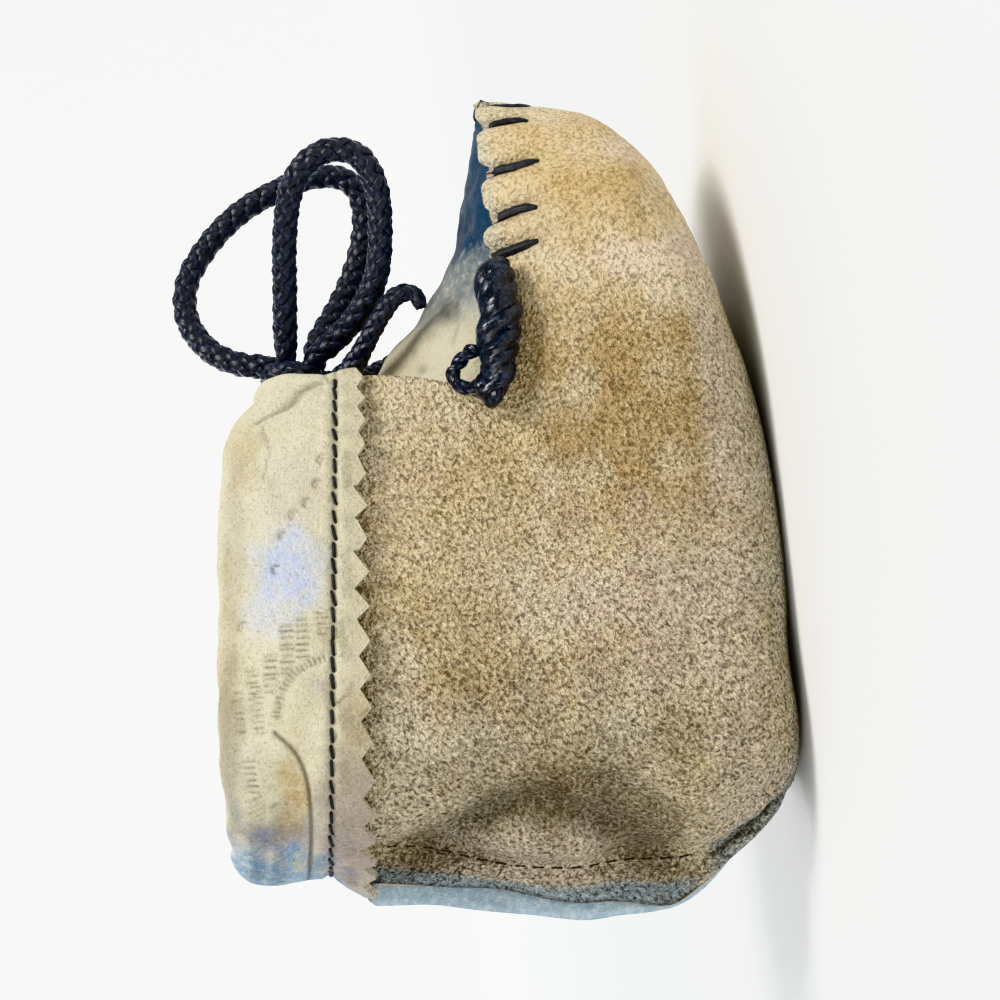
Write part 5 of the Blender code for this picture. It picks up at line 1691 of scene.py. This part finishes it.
# a small overhand knot: a trefoil of thong lying on the wrap's face
def overhand(centre, size, radius, turn, facing, parts):
    t = np.linspace(0, 2 * np.pi, 90)
    x, y, z = np.sin(t) + 2 * np.sin(2 * t), np.cos(t) - 2 * np.cos(2 * t), -np.sin(3 * t)
    c, s = math.cos(turn), math.sin(turn)
    a = np.array([1.0, 0.0, 0.0])
    b = np.cross(facing, a)
    p = (centre + a * ((c * x - s * y) * size / 3)[:, None] + b * ((s * x + c * y) * size / 3 * 0.9)[:, None]
         + facing * (z * size * 0.42)[:, None])
    wide = radius * (1 + 0.08 * np.sin(t * 9))
    parts.append(tubeParts(p * mm, wide * 1.1 * mm, wide * 0.85 * mm, sides=10, ends=False))


def makeThongs():
    for thong in thongs:
        side = thong["side"]
        route = thongRoute(thong["route"], side)
        centre, radius = route[:, :3].copy(), route[:, 3]
        centre[:, 0] -= shoeLength / 2
        gone = np.arange(len(centre)) * thongStep
        a, b, _ = routeFrames(centre)
        facing = np.array([0.0, float(side), 0.25])
        facing /= np.linalg.norm(facing)
        parts = []
        # strands laid round one another, as thick as the table says or all alike
        girth = np.full(len(radius), thong["girth"]) if thong["girth"] else np.minimum(radius * 1.05, 3.0)
        for k in range(thong["strands"]):
            angle = 2 * np.pi * gone / thong["lay"] + 2 * np.pi * k / thong["strands"]
            angle += 0.35 * np.sin(gone * 0.9 + k)
            off = girth * (0.50 + 0.05 * np.sin(gone * 1.7 + 2 * k))
            p = centre + (a * np.cos(angle)[:, None] + b * np.sin(angle)[:, None]) * off[:, None]
            parts.append(tubeParts(p * mm, girth * 0.62 * mm * (1 + 0.07 * np.sin(gone * 3.3 + k)),
                                   girth * 0.46 * mm, sides=12, turn=angle))
        if side < 0:
            eye = np.array([(al, -halfWidth(he, al) - 2.3 - 0.5 * math.sin(k * 0.9), he)
                            for k, (al, he) in enumerate(thongEye)])
            eye[:, 0] -= shoeLength / 2
            eye = smoothRoute(eye, thongStep)
            over, aside, _ = routeFrames(eye)
            for k in range(2):
                angle = np.arange(len(eye)) * thongStep * 1.5 + np.pi * k
                strand = eye + (over * np.cos(angle)[:, None] + aside * np.sin(angle)[:, None]) * 0.42
                parts.append(tubeParts(strand * mm, 0.72 * mm, 0.56 * mm, sides=10, turn=angle))
        for along, size, thick, turn in thong["knots"]:
            at = centre[int(np.argmin(np.abs(centre[:, 0] + shoeLength / 2 - along)))]
            overhand(at + facing * 0.35, size, thick, turn, facing, parts)
        addTubes(thong["name"], parts, [0, 1], thongBlack, [thong["node"]])
    stageLine("thongs")


makeWhips()
makeCuffStitches()
makeHeelStitches()
makeThongs()


# floor, light and picture

def plainFinish(name, color, roughness):
    n = Nodes(name)
    return n.finish(color, roughness, None, Specular_IOR_Level=0.2)


# floor running back into a bent-up backdrop, in metres
roomLook = dict(floor=tone(238, 238, 236), reach=1.1, bend=0.5, sky=(0.93, 0.96, 1.0, 1.0), skyLight=0.46)


def makeRoom():
    floor = plainFinish("floor", roomLook["floor"], 0.8)
    turn = np.linspace(0, np.pi / 2, 24)
    reach, bend = roomLook["reach"], roomLook["bend"]
    profile = [(-1.6, 0.0), (0.0, 0.0), (reach, 0.0)]
    profile += [(reach + bend * math.sin(t), bend - bend * math.cos(t)) for t in turn[1:]]
    profile += [(reach + bend, 2.6)]
    points = np.array([[(x, y, z) for x in np.linspace(-2.4, 2.4, 5)] for y, z in profile])
    mesh = meshFrom("floor", points, gridFaces(len(profile), 5))
    thing = link(bpy.data.objects.new("floor", mesh))
    mesh.materials.append(floor)
    thing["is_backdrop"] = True


lamps = [
    dict(name="key", at=(0.42, -0.44, 0.80), aim=(0, 0, 0.04),
         size=0.38, power=8.6, color=(1.0, 0.985, 0.96)),
    dict(name="side", at=(-0.82, -0.50, 0.25), aim=(0, 0, 0.04),
         size=0.60, power=4.2, color=(0.96, 0.98, 1.0)),
    dict(name="rear", at=(-0.35, 0.55, 0.60), aim=(0, 0, 0.04),
         size=0.50, power=3.0, color=(0.90, 0.95, 1.0)),
    dict(name="backdrop", at=(0.0, 0.70, 0.95), aim=(0, 1.6, 0.5),
         size=0.9, power=16.0, color=(1.0, 1.0, 1.0))]


def makeLights():
    for lamp in lamps:
        data = bpy.data.lights.new(lamp["name"], "AREA")
        data.size = lamp["size"]
        data.energy = lamp["power"]
        data.color = lamp["color"]
        thing = link(bpy.data.objects.new(lamp["name"], data))
        thing.location = lamp["at"]
        thing.rotation_euler = (Vector(lamp["aim"]) - Vector(lamp["at"])).to_track_quat("-Z", "Y").to_euler()
    world = bpy.data.worlds.new("world")
    world.use_nodes = True
    sky = world.node_tree.nodes["Background"]
    sky.inputs["Color"].default_value = roomLook["sky"]
    sky.inputs["Strength"].default_value = roomLook["skyLight"]
    bpy.context.scene.world = world


makeRoom()
makeLights()
look = bpy.context.scene.view_settings
look.view_transform = "Khronos PBR Neutral"
look.exposure = 0.0
stageLine("room")

newBox = [list(corner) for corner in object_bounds()]
stageLine("visual box %s" % newBox)
